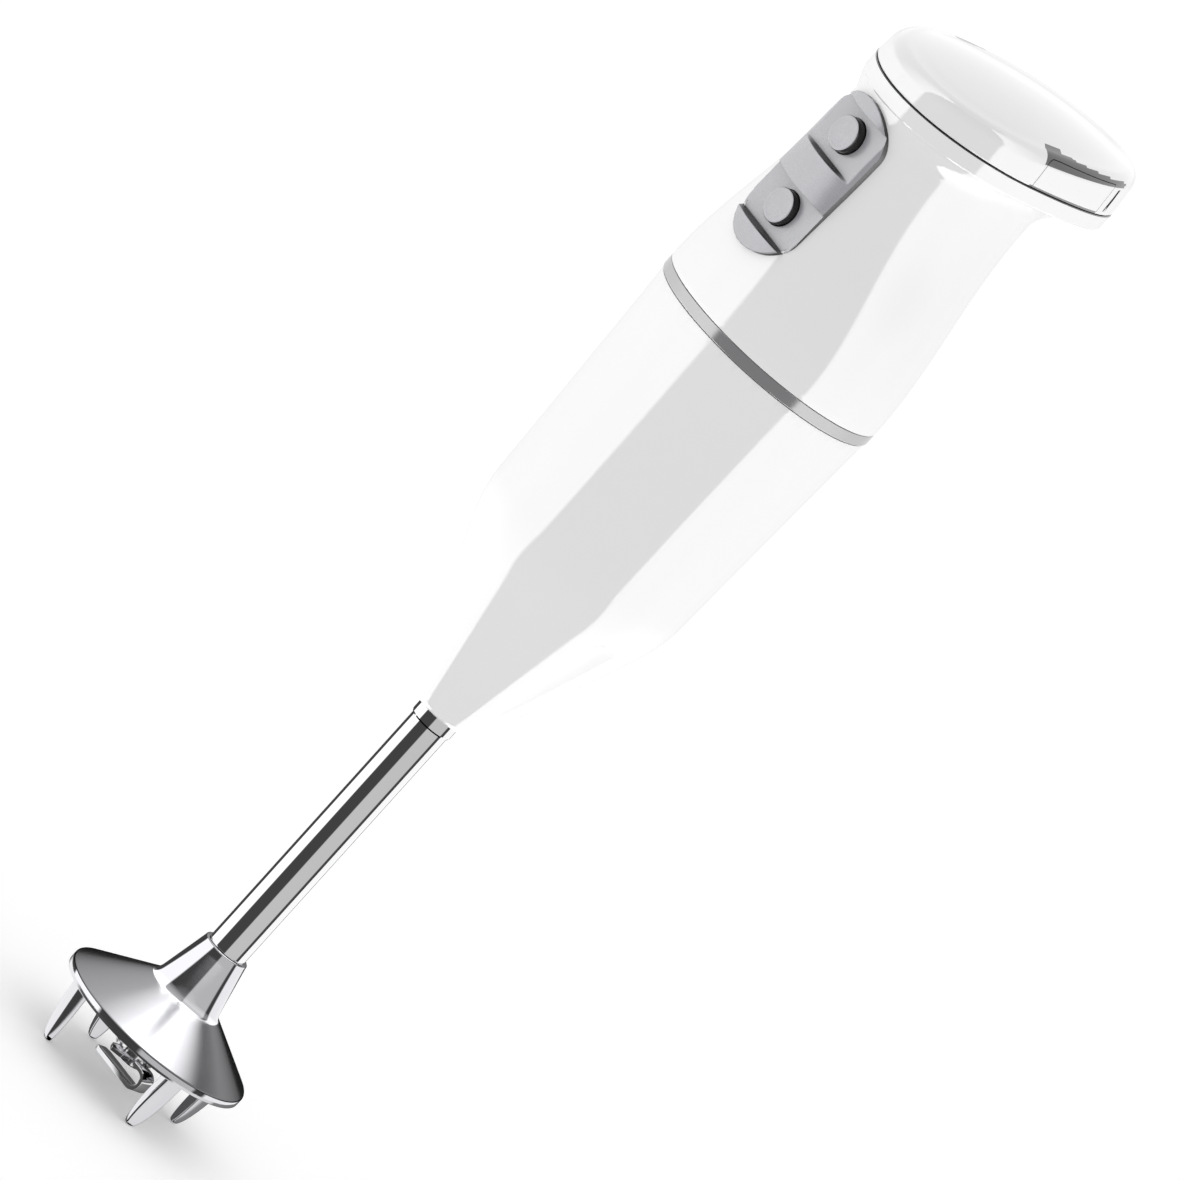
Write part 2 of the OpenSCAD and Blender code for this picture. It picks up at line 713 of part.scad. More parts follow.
module pad_outline(d) {
    polygon(concat(
        [for (i = [0:12]) let (a = 180 * i / 12)
            [(pad_w - d) * cos(a), pad_high_z - d - pad_end + pad_end * sin(a)]],
        [for (i = [0:12]) let (a = 180 + 180 * i / 12)
            [(pad_w - d) * cos(a), pad_low_z + d + pad_end + pad_end * sin(a)]]));
}
module pad_prism(d) {
    translate([0, -20, 0])
        rotate([90, 0, 0])
            linear_extrude(height = 25)
                pad_outline(d);
}
window_inset = 0.6;
boss_ring = 28;
boss_h = 9;
module handle_shell() color([0.95, 0.95, 0.95]) {
    difference() {
        handle_skin(0);
        handle_skin(-wall);
        translate([0, 0, 300])
            cylinder(r = sleeve_r + 0.15, h = 100);
        pad_prism(window_inset);
    }
    for (a = [30:120:270])
        rotate(a)
            difference() {
                translate([0, 0, sleeve_z + 2.45]) {
                    translate([boss_ring, 0, 0])
                        cylinder(r = 3, h = boss_h);
                    translate([boss_ring + 2, -1, 0])
                        cube([5, 2, boss_h]);
                }
                translate([boss_ring, 0, sleeve_z])
                    cylinder(r = 1.2, h = boss_h);
            }
}
// Block that leaves a flat panel round a button, from low under its centre to high over it
module panel_cutter(y, z, low, high) {
    translate([0, y, z])
        rotate([-panel_tilt, 0, 0])
            translate([-20, -20, -low])
                cube([40, 20, low + high]);
}
module button_pad() color([0.72, 0.72, 0.75])
    difference() {
        intersection() {
            handle_skin(pad_proud);
            pad_prism(0);
        }
        difference() {
            handle_skin(0.05);
            pad_prism(window_inset + 0.1);
        }
        translate([-20, button_back_y + 0.9, pad_low_z - 5])
            cube([40, 40, 70]);
        panel_cutter(panel_low_y, button_low_z, 8.6, 7.4);
        panel_cutter(panel_high_y, button_high_z, 9, 8);
        for (z = [button_low_z, button_high_z]) {
            rod_y(button_r + 0.3, -45, -20, z);
            rod_y(button_r + 1.5, button_back_y - 0.8, -20, z);
        }
    }
module push_button(z) {
    union() {
        rod_y(button_r, button_face_y + 0.5, button_back_y, z);
        translate([0, button_face_y + 0.5, z])
            rotate([90, 0, 0])
                cylinder(r1 = button_r, r2 = button_r - 0.5, h = 0.5);
        rod_y(button_r + 1.1, button_back_y - 0.5, button_back_y + 0.5, z);
    }
}
module button_low() color([0.7, 0.7, 0.73])
    push_button(button_low_z);
module button_high() color([0.7, 0.7, 0.73])
    push_button(button_high_z);
plunger_r = 1.7;
switch_front_y = -28.7;
module plunger_low() color([0.15, 0.15, 0.16])
    rod_y(plunger_r, button_back_y + 0.52, switch_front_y + 0.6, button_low_z);
module plunger_high() color([0.15, 0.15, 0.16])
    rod_y(plunger_r, button_back_y + 0.52, switch_front_y + 0.6, button_high_z);
module switches() color([0.3, 0.3, 0.32])
    for (z = [button_low_z, button_high_z])
        difference() {
            translate([-3, switch_front_y, z - 3])
                cube([6, board_y - board_t - switch_front_y - 0.02, 6]);
            rod_y(plunger_r + 0.15, switch_front_y - 1, switch_front_y + button_travel + 0.7, z);
        }
board_low_z = 299;
board_h = 48;
module switch_board() color([0.1, 0.35, 0.2])
    difference() {
        translate([-8.5, board_y - board_t, board_low_z])
            cube([17, board_t, board_h]);
        for (z = [board_low_z + 2.5, board_low_z + board_h / 2])
            for (x = [-6.2, 6.2])
                translate([x, 0, 0])
                    rod_y(1.1, -40, -20, z);
    }
module board_screws() color([0.7, 0.7, 0.72])
    for (z = [board_low_z + 2.5, board_low_z + board_h / 2])
        for (x = [-6.2, 6.2])
            translate([x, board_y - board_t - 1.2, z])
                rotate([90, 0, 0])
                    screw(0.95, 4.2, 1.9, 1.2);
module battery_sleeve() color([0.25, 0.25, 0.27])
    difference() {
        union() {
            tube(sleeve_r, case_r + sleeve_gap, sleeve_z, sleeve_top - sleeve_z);
            translate([0, 0, sleeve_z])
                cylinder(r = sleeve_r, h = 2);
            translate([0, 0, sleeve_z])
                tube(shoulder_r - wall - 1.6, sleeve_r - 0.5, 0, 2.4);
            for (z = [board_low_z + 2.5, board_low_z + board_h / 2])
                for (x = [-6.2, 6.2])
                    translate([x, 0, 0])
                        rod_y(2, board_y + 0.02, -21.6, z);
        }
        for (z = [board_low_z + 2.5, board_low_z + board_h / 2])
            for (x = [-6.2, 6.2])
                translate([x, 0, 0])
                    rod_y(1, -40, -22.9, z);
        for (a = [0:120:240])
            rotate(a + 30)
                translate([boss_ring, 0, sleeve_z - 1])
                    cylinder(r = 1.6, h = 6);
        for (x = [-7, 0, 7])
            translate([x, 0, sleeve_z - 1])
                translate([-1.6, -1.6, 0])
                    cube([3.2, 3.2, 5]);
        for (side = [90, 270])
            rotate(side)
                translate([12, 0, sleeve_z - 1])
                    cylinder(r = 1.3, h = 2.7);
    }
module sleeve_screws() color([0.7, 0.7, 0.72])
    for (a = [0:120:240])
        rotate(a + 30)
            translate([boss_ring, 0, sleeve_z - 1.65])
                rotate([180, 0, 0])
                    screw(1.15, 9, 2.6, 1.6);
module sleeve_contacts() color([0.85, 0.68, 0.3])
    for (x = [-7, 0, 7])
        translate([x - 1.5, -1.5, sleeve_z - 2])
            cube([3, 3, case_z - sleeve_z + 2.2]);

// ---------------------------------------------------------------- battery pack

contact_pocket = 2.6;
module battery_case() color([0.2, 0.2, 0.22])
    difference() {
        union() {
            tube(case_r, case_r - 1.2, case_z, case_top - case_z);
            translate([0, 0, case_z])
                cylinder(r = case_r, h = contact_pocket);
            for (a = [30:120:270])
                rotate(a)
                    translate([case_r - 3, 0, case_top - 12])
                        cylinder(r = 2.6, h = 12);
        }
        for (x = [-7, 0, 7])
            translate([x - 1.9, -1.9, case_z - 1])
                cube([3.8, 3.8, contact_pocket]);
        for (a = [30:120:270])
            rotate(a)
                translate([case_r - 3, 0, case_top - 10])
                    cylinder(r = 0.9, h = 12);
    }
module battery_contacts() color([0.85, 0.68, 0.3])
    for (x = [-7, 0, 7])
        translate([x - 1.7, -1.7, case_z + 0.4])
            cube([3.4, 3.4, 1.15]);
module battery_cells() color([0.25, 0.45, 0.65])
    for (i = [0:2])
        rotate(120 * i + 90)
            translate([cell_ring, 0, cell_z]) {
                cylinder(r = cell_r - 0.1, h = cell_h - 1);
                cylinder(r = 3, h = cell_h);
            }
module battery_board() color([0.1, 0.35, 0.2])
    difference() {
        translate([0, 0, cell_z + cell_h + 0.3])
            cylinder(r = case_r - 6.2, h = 1.2);
        translate([0, 0, cell_z])
            cylinder(r = 3, h = big);
    }
cap_deck_top = 362.2;
clip_cut_x = 20.5;
// Room behind a clip, so that it clears the cap when it is squeezed in
clip_room = clip_travel + 0.4;
// Upright prism that covers one clip's outline in side view, grown by d
module clip_window(d) {
    corner = 2.2;
    front = clip_front_y - d;
    rear = clip_rear_y + d;
    top_front = seam(front) + clip_h + d;
    translate([clip_cut_x + (d > 0 ? 0 : clip_room), 0, 0])
        rotate([90, 0, 90])
            linear_extrude(height = 20)
                polygon(concat(
                    [[front, seam(front) - 4], [front, top_front - corner]],
                    arc(front + corner, top_front - corner, corner, 165, 105, 3),
                    [[rear, seam(rear) + clip_h + d + 0.4], [rear, seam(rear) - 4]]));
}
module clip_blank(d) {
    intersection() {
        clip_window(d);
        difference() {
            cap_skin(0);
            cap_skin(clip_wall - d);
        }
    }
}
// Clip spring between a post on the cap's deck and the clip's inner face
spring_y = 12;
spring_z = 365;
spring_in = 23.4;
spring_len = 3.3;
module clip_spring(side) {
    translate([side * spring_in, spring_y, spring_z])
        rotate([0, side * 90, 0])
            coil(1.9, spring_len);
}
module battery_cap() color([0.95, 0.95, 0.95]) {
    for (side = [0, 1])
        mirror([side, 0, 0])
            translate([18, spring_y - 2.4, cap_deck_top - 0.5])
                cube([spring_in - 18.05, 4.8, spring_z + 2.9 - cap_deck_top]);
    difference() {
        cap_skin(0);
        difference() {
            cap_skin(wall);
            translate([-50, -60, cap_deck_top - 20])
                cube([100, 120, 20]);
        }
        for (side = [0, 1])
            mirror([side, 0, 0])
                clip_window(clip_gap);
        translate([0, 0, 340])
            cylinder(r = case_r + 0.05, h = case_top - 340);
        for (a = [30:120:270])
            rotate(a)
                translate([case_r - 3, 0, case_top - 1])
                    cylinder(r = 1.2, h = 4);
    }
}
module cap_screws() color([0.7, 0.7, 0.72])
    for (a = [30:120:270])
        rotate(a)
            translate([case_r - 3, 0, cap_deck_top + 1.3])
                screw(0.85, 12, 2, 1.3);
module clip_right() color([0.95, 0.95, 0.95])
    clip_blank(0);
module clip_left() color([0.95, 0.95, 0.95])
    mirror([1, 0, 0])
        clip_blank(0);
module spring_left() color([0.8, 0.8, 0.82])
    clip_spring(-1);
module spring_right() color([0.8, 0.8, 0.82])
    clip_spring(1);

blade_guard();
lower_bush();
shaft_seal();
shaft_tube();
shaft_collar();
shaft_flange();
upper_bush();
motor_housing();
motor_mount();
mount_dampers();
motor_screws();
motor_can();
motor_magnets();
motor_bearing_lower();
motor_bearing_upper();
motor_end_cap();
carbon_brushes();
brush_springs();
motor_leads();
joint_ring();
handle_shell();
button_pad();
switch_board();
board_screws();
switches();
battery_sleeve();
sleeve_screws();
sleeve_contacts();
drive_shaft();
drive_pin();
shaft_coupling();
motor_shaft();
armature_core();
armature_windings();
commutator();
blade_hub();
cutting_blade();
button_low();
plunger_low();
button_high();
plunger_high();
battery_cap();
battery_case();
battery_cells();
battery_board();
battery_contacts();
cap_screws();
spring_left();
spring_right();
clip_left();
clip_right();
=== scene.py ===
# Looks of the cordless immersion blender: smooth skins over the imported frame, procedural
# finishes for every piece, a white studio and the camera. Shapes are in millimetres until
# link() turns them into metres. The camera's distances are in metres.
import json
import math

import bmesh
import bpy
import numpy as np
from mathutils import Matrix, Vector


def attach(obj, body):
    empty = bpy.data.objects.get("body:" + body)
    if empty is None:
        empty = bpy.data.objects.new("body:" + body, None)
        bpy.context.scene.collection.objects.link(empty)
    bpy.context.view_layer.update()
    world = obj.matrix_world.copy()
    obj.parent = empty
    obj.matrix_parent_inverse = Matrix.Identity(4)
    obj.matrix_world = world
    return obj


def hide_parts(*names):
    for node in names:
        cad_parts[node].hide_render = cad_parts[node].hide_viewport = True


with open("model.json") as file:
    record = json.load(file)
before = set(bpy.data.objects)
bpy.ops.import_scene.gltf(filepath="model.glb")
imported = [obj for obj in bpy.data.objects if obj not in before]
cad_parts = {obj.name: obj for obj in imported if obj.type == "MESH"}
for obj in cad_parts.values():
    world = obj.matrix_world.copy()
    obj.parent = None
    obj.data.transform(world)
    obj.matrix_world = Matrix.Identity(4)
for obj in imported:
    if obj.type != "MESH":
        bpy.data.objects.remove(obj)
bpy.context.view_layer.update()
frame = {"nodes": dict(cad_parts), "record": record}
scene = bpy.context.scene
MM = 0.001

# ------------------------------------------------------------------ camera

VIEW_TURN = 42.0
VIEW_RISE = 12.85
VIEW_ROLL = 47.91
VIEW_DISTANCE = 4.0
VIEW_WIDTH = 0.31926
AIM = Vector((0, 0, 0.190))
SLIDE_RIGHT, SLIDE_UP = 0.0072, -0.0035


def add_camera():
    a, e, r = (math.radians(v) for v in (VIEW_TURN, VIEW_RISE, VIEW_ROLL))
    back = Vector((math.sin(a) * math.cos(e), -math.cos(a) * math.cos(e), math.sin(e)))
    right = Vector((math.cos(a), math.sin(a), 0))
    up = back.cross(right)
    cam_x = right * math.sin(r) + up * math.cos(r)
    cam_y = -right * math.cos(r) + up * math.sin(r)
    data = bpy.data.cameras.new("camera")
    data.sensor_width = 36
    data.lens = 36 * VIEW_DISTANCE / VIEW_WIDTH
    data.clip_start, data.clip_end = 0.05, 200
    cam = bpy.data.objects.new("camera", data)
    place = AIM + back * VIEW_DISTANCE + cam_x * SLIDE_RIGHT + cam_y * SLIDE_UP
    m = Matrix((cam_x, cam_y, back)).transposed().to_4x4()
    m.translation = place
    cam.matrix_world = m
    scene.collection.objects.link(cam)
    scene.camera = cam


add_camera()

# ------------------------------------------------------------------ node helpers


class Nodes:
    """A short way to write a node tree."""

    def __init__(self, tree):
        self.tree = tree
        tree.nodes.clear()

    def add(self, kind, inputs=None, **settings):
        n = self.tree.nodes.new("ShaderNode" + kind)
        for k, v in settings.items():
            setattr(n, k, v)
        for k, v in (inputs or {}).items():
            if isinstance(v, bpy.types.NodeSocket):
                self.tree.links.new(v, n.inputs[k])
            else:
                n.inputs[k].default_value = v
        return n

    def ramp(self, fac, stops):
        n = self.add("ValToRGB", {"Fac": fac})
        e = n.color_ramp.elements
        while len(e) > 1:
            e.remove(e[-1])
        for i, (pos, col) in enumerate(stops):
            s = e[0] if i == 0 else e.new(pos)
            s.position = pos
            s.color = (*col, 1) if hasattr(col, "__len__") else (col, col, col, 1)
        return n.outputs["Color"]

    def noise(self, vector, scale, detail=4.0, rough=0.55):
        return self.add("TexNoise", {"Vector": vector, "Scale": scale, "Detail": detail,
                                     "Roughness": rough}).outputs["Fac"]

    def span(self, value, low, high):
        return self.add("MapRange", {"Value": value, "From Min": 0.3, "From Max": 0.7,
                                     "To Min": low, "To Max": high}).outputs["Result"]


def finish(name, base, rough, metallic=0.0, tint=0.03, rough_spread=0.05, grain=900.0,
           bump=0.02, stretch=(1, 1, 1), mottle=45.0, coat=0.0, specular=0.5, painted_shade_and_satin=None,
           satin=None):
    """A procedural finish: colour mottling, roughness variation and a fine surface grain.
    stretch squeezes the grain along an axis, which gives brushed and turned surfaces.
    The argument before satin gives the colour of painted shade: the base colour fades to it where the
    mesh attribute of the same name is set, in gaps, undercuts, steps and flutes.
    satin is the roughness added where the mesh attribute of that name is set."""
    mat = bpy.data.materials.new(name)
    mat.use_nodes = True
    n = Nodes(mat.node_tree)
    out = n.add("OutputMaterial")
    place = n.add("TexCoord").outputs["Object"]
    broad = n.noise(place, mottle, 3.0)
    grained = n.add("Mapping", {"Vector": place, "Scale": stretch}).outputs["Vector"]
    fine = n.noise(grained, grain, 6.0, 0.6)
    low = tuple(max(0.0, c * (1 - tint)) for c in base)
    high = tuple(min(1.0, c * (1 + tint)) for c in base)
    colour = n.ramp(broad, [(0.3, low), (0.7, high)])
    # Painted shade: the base colour darkens where the mesh attribute says a face lies in a gap,
    # undercut, step or flute.
    if painted_shade_and_satin is not None:
        painted_shade_share = n.add("Attribute", attribute_name="painted_shade_and_satin").outputs["Fac"]
        colour = n.add("Mix", {"Factor": painted_shade_share, "A": colour, "B": (painted_shade_and_satin, painted_shade_and_satin, painted_shade_and_satin, 1)},
                       data_type="RGBA").outputs[2]
    mixed = n.add("Math", {0: broad, 1: fine}, operation="MULTIPLY").outputs[0]
    spread = n.add("Math", {0: mixed, 1: 2.0}, operation="MULTIPLY").outputs[0]
    roughness = n.span(spread, max(0.0, rough - rough_spread), rough + rough_spread)
    if satin is not None:
        where = n.add("Attribute", attribute_name="satin").outputs["Fac"]
        roughness = n.add("Math", {0: where, 1: satin, 2: roughness},
                          operation="MULTIPLY_ADD").outputs[0]
    bumped = n.add("Bump", {"Strength": bump, "Distance": 0.0004, "Height": fine})
    shader = n.add("BsdfPrincipled", {
        "Base Color": colour, "Roughness": roughness, "Metallic": metallic, "IOR": 1.5,
        "Normal": bumped.outputs["Normal"], "Coat Weight": coat, "Coat Roughness": 0.05,
        "Specular IOR Level": specular})
    n.tree.links.new(shader.outputs["BSDF"], out.inputs["Surface"])
    return mat


# white_shell and grey_pad take a painted shade colour for their gaps and steps: 0.06 and 0.012.
SKINS = {
    "white_shell": finish("white_shell", (0.80, 0.80, 0.80), 0.06, tint=0.006, rough_spread=0.02,
                          grain=520, bump=0.005, mottle=18, painted_shade_and_satin=0.06),
    "grey_ring": finish("grey_ring", (0.21, 0.21, 0.215), 0.12, tint=0.02, rough_spread=0.03,
                        grain=900, bump=0.01, specular=1.0),
    "grey_pad": finish("grey_pad", (0.33, 0.33, 0.35), 0.27, tint=0.02, rough_spread=0.06,
                       grain=3200, bump=0.07, mottle=70, painted_shade_and_satin=0.012),
    "guard_steel": finish("guard_steel", (0.74, 0.74, 0.765), 0.06, 1.0, tint=0.02,
                          rough_spread=0.03, grain=1600, bump=0.012, stretch=(1, 1, 5), satin=0.15),
    "tube_chrome": finish("tube_chrome", (0.86, 0.86, 0.87), 0.025, 1.0, tint=0.01,
                          rough_spread=0.015, grain=700, bump=0.004, stretch=(1, 1, 0.15)),
    "blade_steel": finish("blade_steel", (0.78, 0.78, 0.79), 0.10, 1.0, tint=0.02,
                          rough_spread=0.04, grain=1500, bump=0.02, stretch=(1, 6, 1)),
    "shaft_steel": finish("shaft_steel", (0.62, 0.62, 0.64), 0.16, 1.0, grain=1500, bump=0.02,
                          stretch=(1, 1, 8)),
    "bronze": finish("bronze", (0.60, 0.40, 0.20), 0.38, 1.0, tint=0.10, grain=4200, bump=0.12,
                     mottle=320),
    "seal_rubber": finish("seal_rubber", (0.030, 0.030, 0.033), 0.55, tint=0.15, grain=2600,
                          bump=0.12),
    "dark_plastic": finish("dark_plastic", (0.055, 0.055, 0.06), 0.42, tint=0.10, grain=3400,
                           bump=0.12, mottle=90),
    "motor_steel": finish("motor_steel", (0.58, 0.58, 0.60), 0.26, 1.0, tint=0.05, grain=1300,
                          bump=0.03, stretch=(1, 1, 4), mottle=150),
    "magnet": finish("magnet", (0.09, 0.09, 0.10), 0.6, 0.2, tint=0.2, grain=3800, bump=0.2),
    "core_steel": finish("core_steel", (0.30, 0.30, 0.31), 0.40, 1.0, tint=0.08, grain=1500,
                         bump=0.25, stretch=(0.05, 0.05, 2.0)),
    "copper": finish("copper", (0.62, 0.27, 0.12), 0.25, 0.9, tint=0.12, grain=1600, bump=0.3,
                     stretch=(1, 1, 0.2)),
    "carbon": finish("carbon", (0.03, 0.03, 0.032), 0.5, 0.3, tint=0.2, grain=4000, bump=0.1),
    "lead_red": finish("lead_red", (0.42, 0.03, 0.03), 0.4, tint=0.06, grain=2600, bump=0.05),
    "board_green": finish("board_green", (0.025, 0.15, 0.07), 0.3, tint=0.2, grain=2200,
                          bump=0.08, mottle=500, coat=0.4),
    "gold_contact": finish("gold_contact", (0.80, 0.58, 0.25), 0.2, 1.0, tint=0.05, grain=2500,
                           bump=0.02),
    "screw_steel": finish("screw_steel", (0.60, 0.60, 0.62), 0.24, 1.0, tint=0.06, grain=2500,
                          bump=0.05),
    "cell_wrap": finish("cell_wrap", (0.07, 0.19, 0.40), 0.22, tint=0.05, grain=1200, bump=0.03),
}


worn = {}


def dress(obj, slot):
    obj.data.materials.clear()
    obj.data.materials.append(SKINS[slot])
    worn.setdefault(slot, []).append(obj)


# ------------------------------------------------------------------ mesh helpers


def link(name, points, faces):
    mesh = bpy.data.meshes.new(name)
    mesh.from_pydata([tuple(float(c) * MM for c in p) for p in points], [], faces)
    mesh.validate()
    obj = bpy.data.objects.new(name, mesh)
    scene.collection.objects.link(obj)
    return obj


def loft(name, rings, closed=False):
    """A skin over a stack of rings of equal length, counted up the stack, anticlockwise.
    It has flat ends, or runs from the last ring back to the first when closed."""
    n = len(rings[0])
    points = [p for r in rings for p in r]
    faces = []
    levels = len(rings)
    for k in range(levels if closed else levels - 1):
        a, b = k * n, ((k + 1) % levels) * n
        for i in range(n):
            j = (i + 1) % n
            faces.append((a + i, a + j, b + j, b + i))
    if not closed:
        faces.append(tuple(range(n - 1, -1, -1)))
        faces.append(tuple((levels - 1) * n + i for i in range(n)))
    return link(name, points, faces)


def lathe(name, outline, n):
    """A turned piece. The outline is (radius, height) and goes round the section so that the
    solid lies on its left, which faces the skin outwards."""
    turn = [(math.cos(2 * math.pi * i / n), math.sin(2 * math.pi * i / n)) for i in range(n)]
    rings = [[(r * c, r * s, z) for c, s in turn] for r, z in outline]
    o = loft(name, rings, closed=True)
    tidy_normals(o)
    return o


def prism(name, outline, axis, low, high):
    """A straight prism over a flat outline: axis x takes (y, z), y takes (x, z), z takes (x, y)."""
    put = {"x": lambda p, t: (t, p[0], p[1]), "y": lambda p, t: (p[0], t, p[1]),
           "z": lambda p, t: (p[0], p[1], t)}[axis]
    o = loft(name, [[put(p, low) for p in outline], [put(p, high) for p in outline]])
    tidy_normals(o)
    return o


def tidy_normals(obj):
    bm = bmesh.new()
    bm.from_mesh(obj.data)
    bmesh.ops.recalc_face_normals(bm, faces=bm.faces)
    bm.to_mesh(obj.data)
    bm.free()


def bake(obj):
    """Applies the object's modifiers to its mesh."""
    dg = bpy.context.evaluated_depsgraph_get()
    dg.update()
    made = bpy.data.meshes.new_from_object(obj.evaluated_get(dg))
    obj.modifiers.clear()
    obj.data = made
    return obj


def combine(obj, others, operation="DIFFERENCE"):
    """Joins the other solids to obj, cuts them from it or keeps what they share. They are used up."""
    for other in others:
        m = obj.modifiers.new("cut", "BOOLEAN")
        m.operation, m.object, m.solver = operation, other, "MANIFOLD"
    bake(obj)
    for other in others:
        bpy.data.objects.remove(other)
    return obj


def smooth(obj, angle):
    obj.data.shade_smooth()
    obj.data.set_sharp_from_angle(angle=math.radians(angle))
    return obj


def soften(obj, width, segments, angle):
    m = obj.modifiers.new("edge", "BEVEL")
    m.width, m.segments, m.limit_method = width * MM, segments, "ANGLE"
    m.angle_limit = math.radians(angle)
    return bake(obj)


def painted_shade_and_satin(obj, rule, name="painted_shade_and_satin"):
    """Stores a share from 0 to 1 on each face: how much painted shade it gets, from how deep it lies
    in a gap or step, or how satin it is.
    rule takes the faces' middles, in millimetres, and their normals, as rows of arrays."""
    mesh = obj.data
    n = len(mesh.polygons)
    mid, nor = np.zeros(n * 3), np.zeros(n * 3)
    mesh.polygons.foreach_get("center", mid)
    mesh.polygons.foreach_get("normal", nor)
    value = np.asarray(rule(mid.reshape(-1, 3) / MM, nor.reshape(-1, 3)), float)
    mesh.attributes.new(name, "FLOAT", "FACE").data.foreach_set("value", value)
    return obj


def piece(obj, body, slot, *nodes):
    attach(obj, body)
    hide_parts(*nodes)
    dress(obj, slot)
    return obj


# ------------------------------------------------------------------ the upper body's shape

RING_Z, RING_H = 273.2, 3.8
SHELL_Z = RING_Z + RING_H
SHOULDER_R, WAIST_X, WAIST_Y, WAIST_Z = 36.7, 25.2, 34.6, 345.5
CAP_X, CAP_FRONT, CAP_REAR = 30.0, 34.8, 57.3
FLANGE_H, SEAM_GAP, WALL = 5.1, 0.36, 2.2
EDGE_R, CROWN, DRAFT, TOP_MID = 4.2, 3.5, 0.1, 9.0
AROUND = 288
ANGLES = np.linspace(0, 2 * math.pi, AROUND, endpoint=False)


def mix(a, b, t):
    return a + (b - a) * t


def ease(t):
    u = np.clip(t, 0, 1)
    return u * u * (3 - 2 * u)


def seam(y):
    return 359.2 + 0.06 * y - 0.0009 * y * y


def oval(x, f, r):
    s = np.sin(ANGLES)
    return x * np.cos(ANGLES), np.where(s < 0, f, r) * s


def ring(x, y, z):
    return np.stack([x, y, np.broadcast_to(z, x.shape)], 1)


def narrowing(z):
    return 0.5 + 0.5 * math.cos(math.pi * (z - SHELL_Z) / (WAIST_Z - SHELL_Z))


def body_ring(z, d):
    k = narrowing(z)
    x, y = oval(mix(WAIST_X, SHOULDER_R, k) + d, mix(WAIST_Y, SHOULDER_R, k) + d,
                mix(WAIST_Y, SHOULDER_R, k) + d)
    return ring(x, y, z)


def flare_ring(t, d):
    wx, wy = oval(WAIST_X + d, WAIST_Y + d, WAIST_Y + d)
    fx, fy = oval(CAP_X - 0.3 + d, CAP_FRONT - 0.3 + d, CAP_REAR - 0.3 + d)
    hook = ease((np.sin(ANGLES) + 0.6) / 0.7)
    out = mix(0.5 - 0.5 * math.cos(math.pi * t), 1 - math.cos(math.pi / 2 * t), hook)
    up = mix(t, math.sin(math.pi / 2 * t), hook)
    z = mix(WAIST_Z, seam(fy) - FLANGE_H, up) - d * t * hook
    return ring(mix(wx, fx, out), mix(wy, fy, out), z)


def rim_rise(y):
    return 10.2 + 0.052 * y


def cap_ring(s, h):
    x, y = oval(CAP_X - s, CAP_FRONT - s, CAP_REAR - s)
    return ring(x, y, seam(y) + h)


def side_ring(t, d):
    q = oval(CAP_X, CAP_FRONT, CAP_REAR)[1]
    h = (rim_rise(q) - EDGE_R) * t
    s = h * DRAFT + d
    x, y = oval(CAP_X - s, CAP_FRONT - s, CAP_REAR - s)
    return ring(x, y, seam(y) + h)


def edge_ring(deg, d):
    q = oval(CAP_X, CAP_FRONT, CAP_REAR)[1]
    h = rim_rise(q) - EDGE_R
    s = h * DRAFT + EDGE_R - (EDGE_R - d) * math.cos(math.radians(deg))
    x, y = oval(CAP_X - s, CAP_FRONT - s, CAP_REAR - s)
    return ring(x, y, seam(y) + h + (EDGE_R - d) * math.sin(math.radians(deg)))


def crown_ring(k, d):
    p = edge_ring(90, d)
    x, y = p[:, 0] * k, TOP_MID + (p[:, 1] - TOP_MID) * k
    return ring(x, y, seam(y) + rim_rise(y) - d + CROWN * (1 - k * k))


def handle_skin(name, d):
    hollow = d < 0
    base = SHELL_Z - 1 if hollow else SHELL_Z
    drop = 2.4 if hollow else SEAM_GAP / 2
    rings = [body_ring(mix(base, WAIST_Z, k / 30), d) for k in range(31)]
    if not hollow:
        rings[:1] = [body_ring(base, -0.3), body_ring(base + 0.08, -0.1), body_ring(base + 0.3, 0)]
    rings += [flare_ring(k / 22, d) for k in range(1, 23)]
    if not hollow:
        rings += [cap_ring(0, -FLANGE_H + 0.45), cap_ring(0, -2.5), cap_ring(0, -0.4)]
    rings += [cap_ring(0.3 - d, -drop)]
    rings += [cap_ring((0.3 - d) + (25 - 0.3 + d) * k, -drop) for k in (0.3, 0.65, 1.0)]
    return loft(name, rings)


def cap_skin(name, d):
    if d > 0:
        rings = [cap_ring(25 + d, -4), cap_ring(12 + d, -4), cap_ring(d, -4)]
    else:
        rings = [cap_ring(25, SEAM_GAP / 2), cap_ring(12, SEAM_GAP / 2), cap_ring(0.3, SEAM_GAP / 2)]
    rings += [side_ring(t, d) for t in (0.12, 0.4, 0.7, 1.0)]
    rings += [edge_ring(90 * k / 10, d) for k in range(1, 11)]
    rings += [crown_ring(k, d) for k in (0.93, 0.85, 0.75, 0.62, 0.48, 0.34, 0.2, 0.1)]
    return loft(name, rings)


def arc(cx, cy, r, a0, a1, n):
    return [(cx + r * math.cos(math.radians(mix(a0, a1, i / n))),
             cy + r * math.sin(math.radians(mix(a0, a1, i / n)))) for i in range(n + 1)]


# ------------------------------------------------------------------ pad and buttons

PAD_W, PAD_LOW, PAD_HIGH, PAD_END, PAD_PROUD = 12.6, 297.0, 349.6, 11.0, 1.6
PAD_BACK, PAD_EDGE, PANEL_SLOPE = -29.7, 0.35, 0.0507
# Each panel: its button's height, its depth there, and how far it runs down and up
PANELS = ((311.2, -33.5, -8.6, 7.4), (337.6, -33.0, -9.0, 8.0))
BUTTON_R, BUTTON_FACE, BUTTON_BACK = 5.2, -35.9, -30.6
WINDOW_INSET = 0.6
# Y range of the cutting tools at the front of the handle
TOOL_FRONT, TOOL_BACK = -45, -20


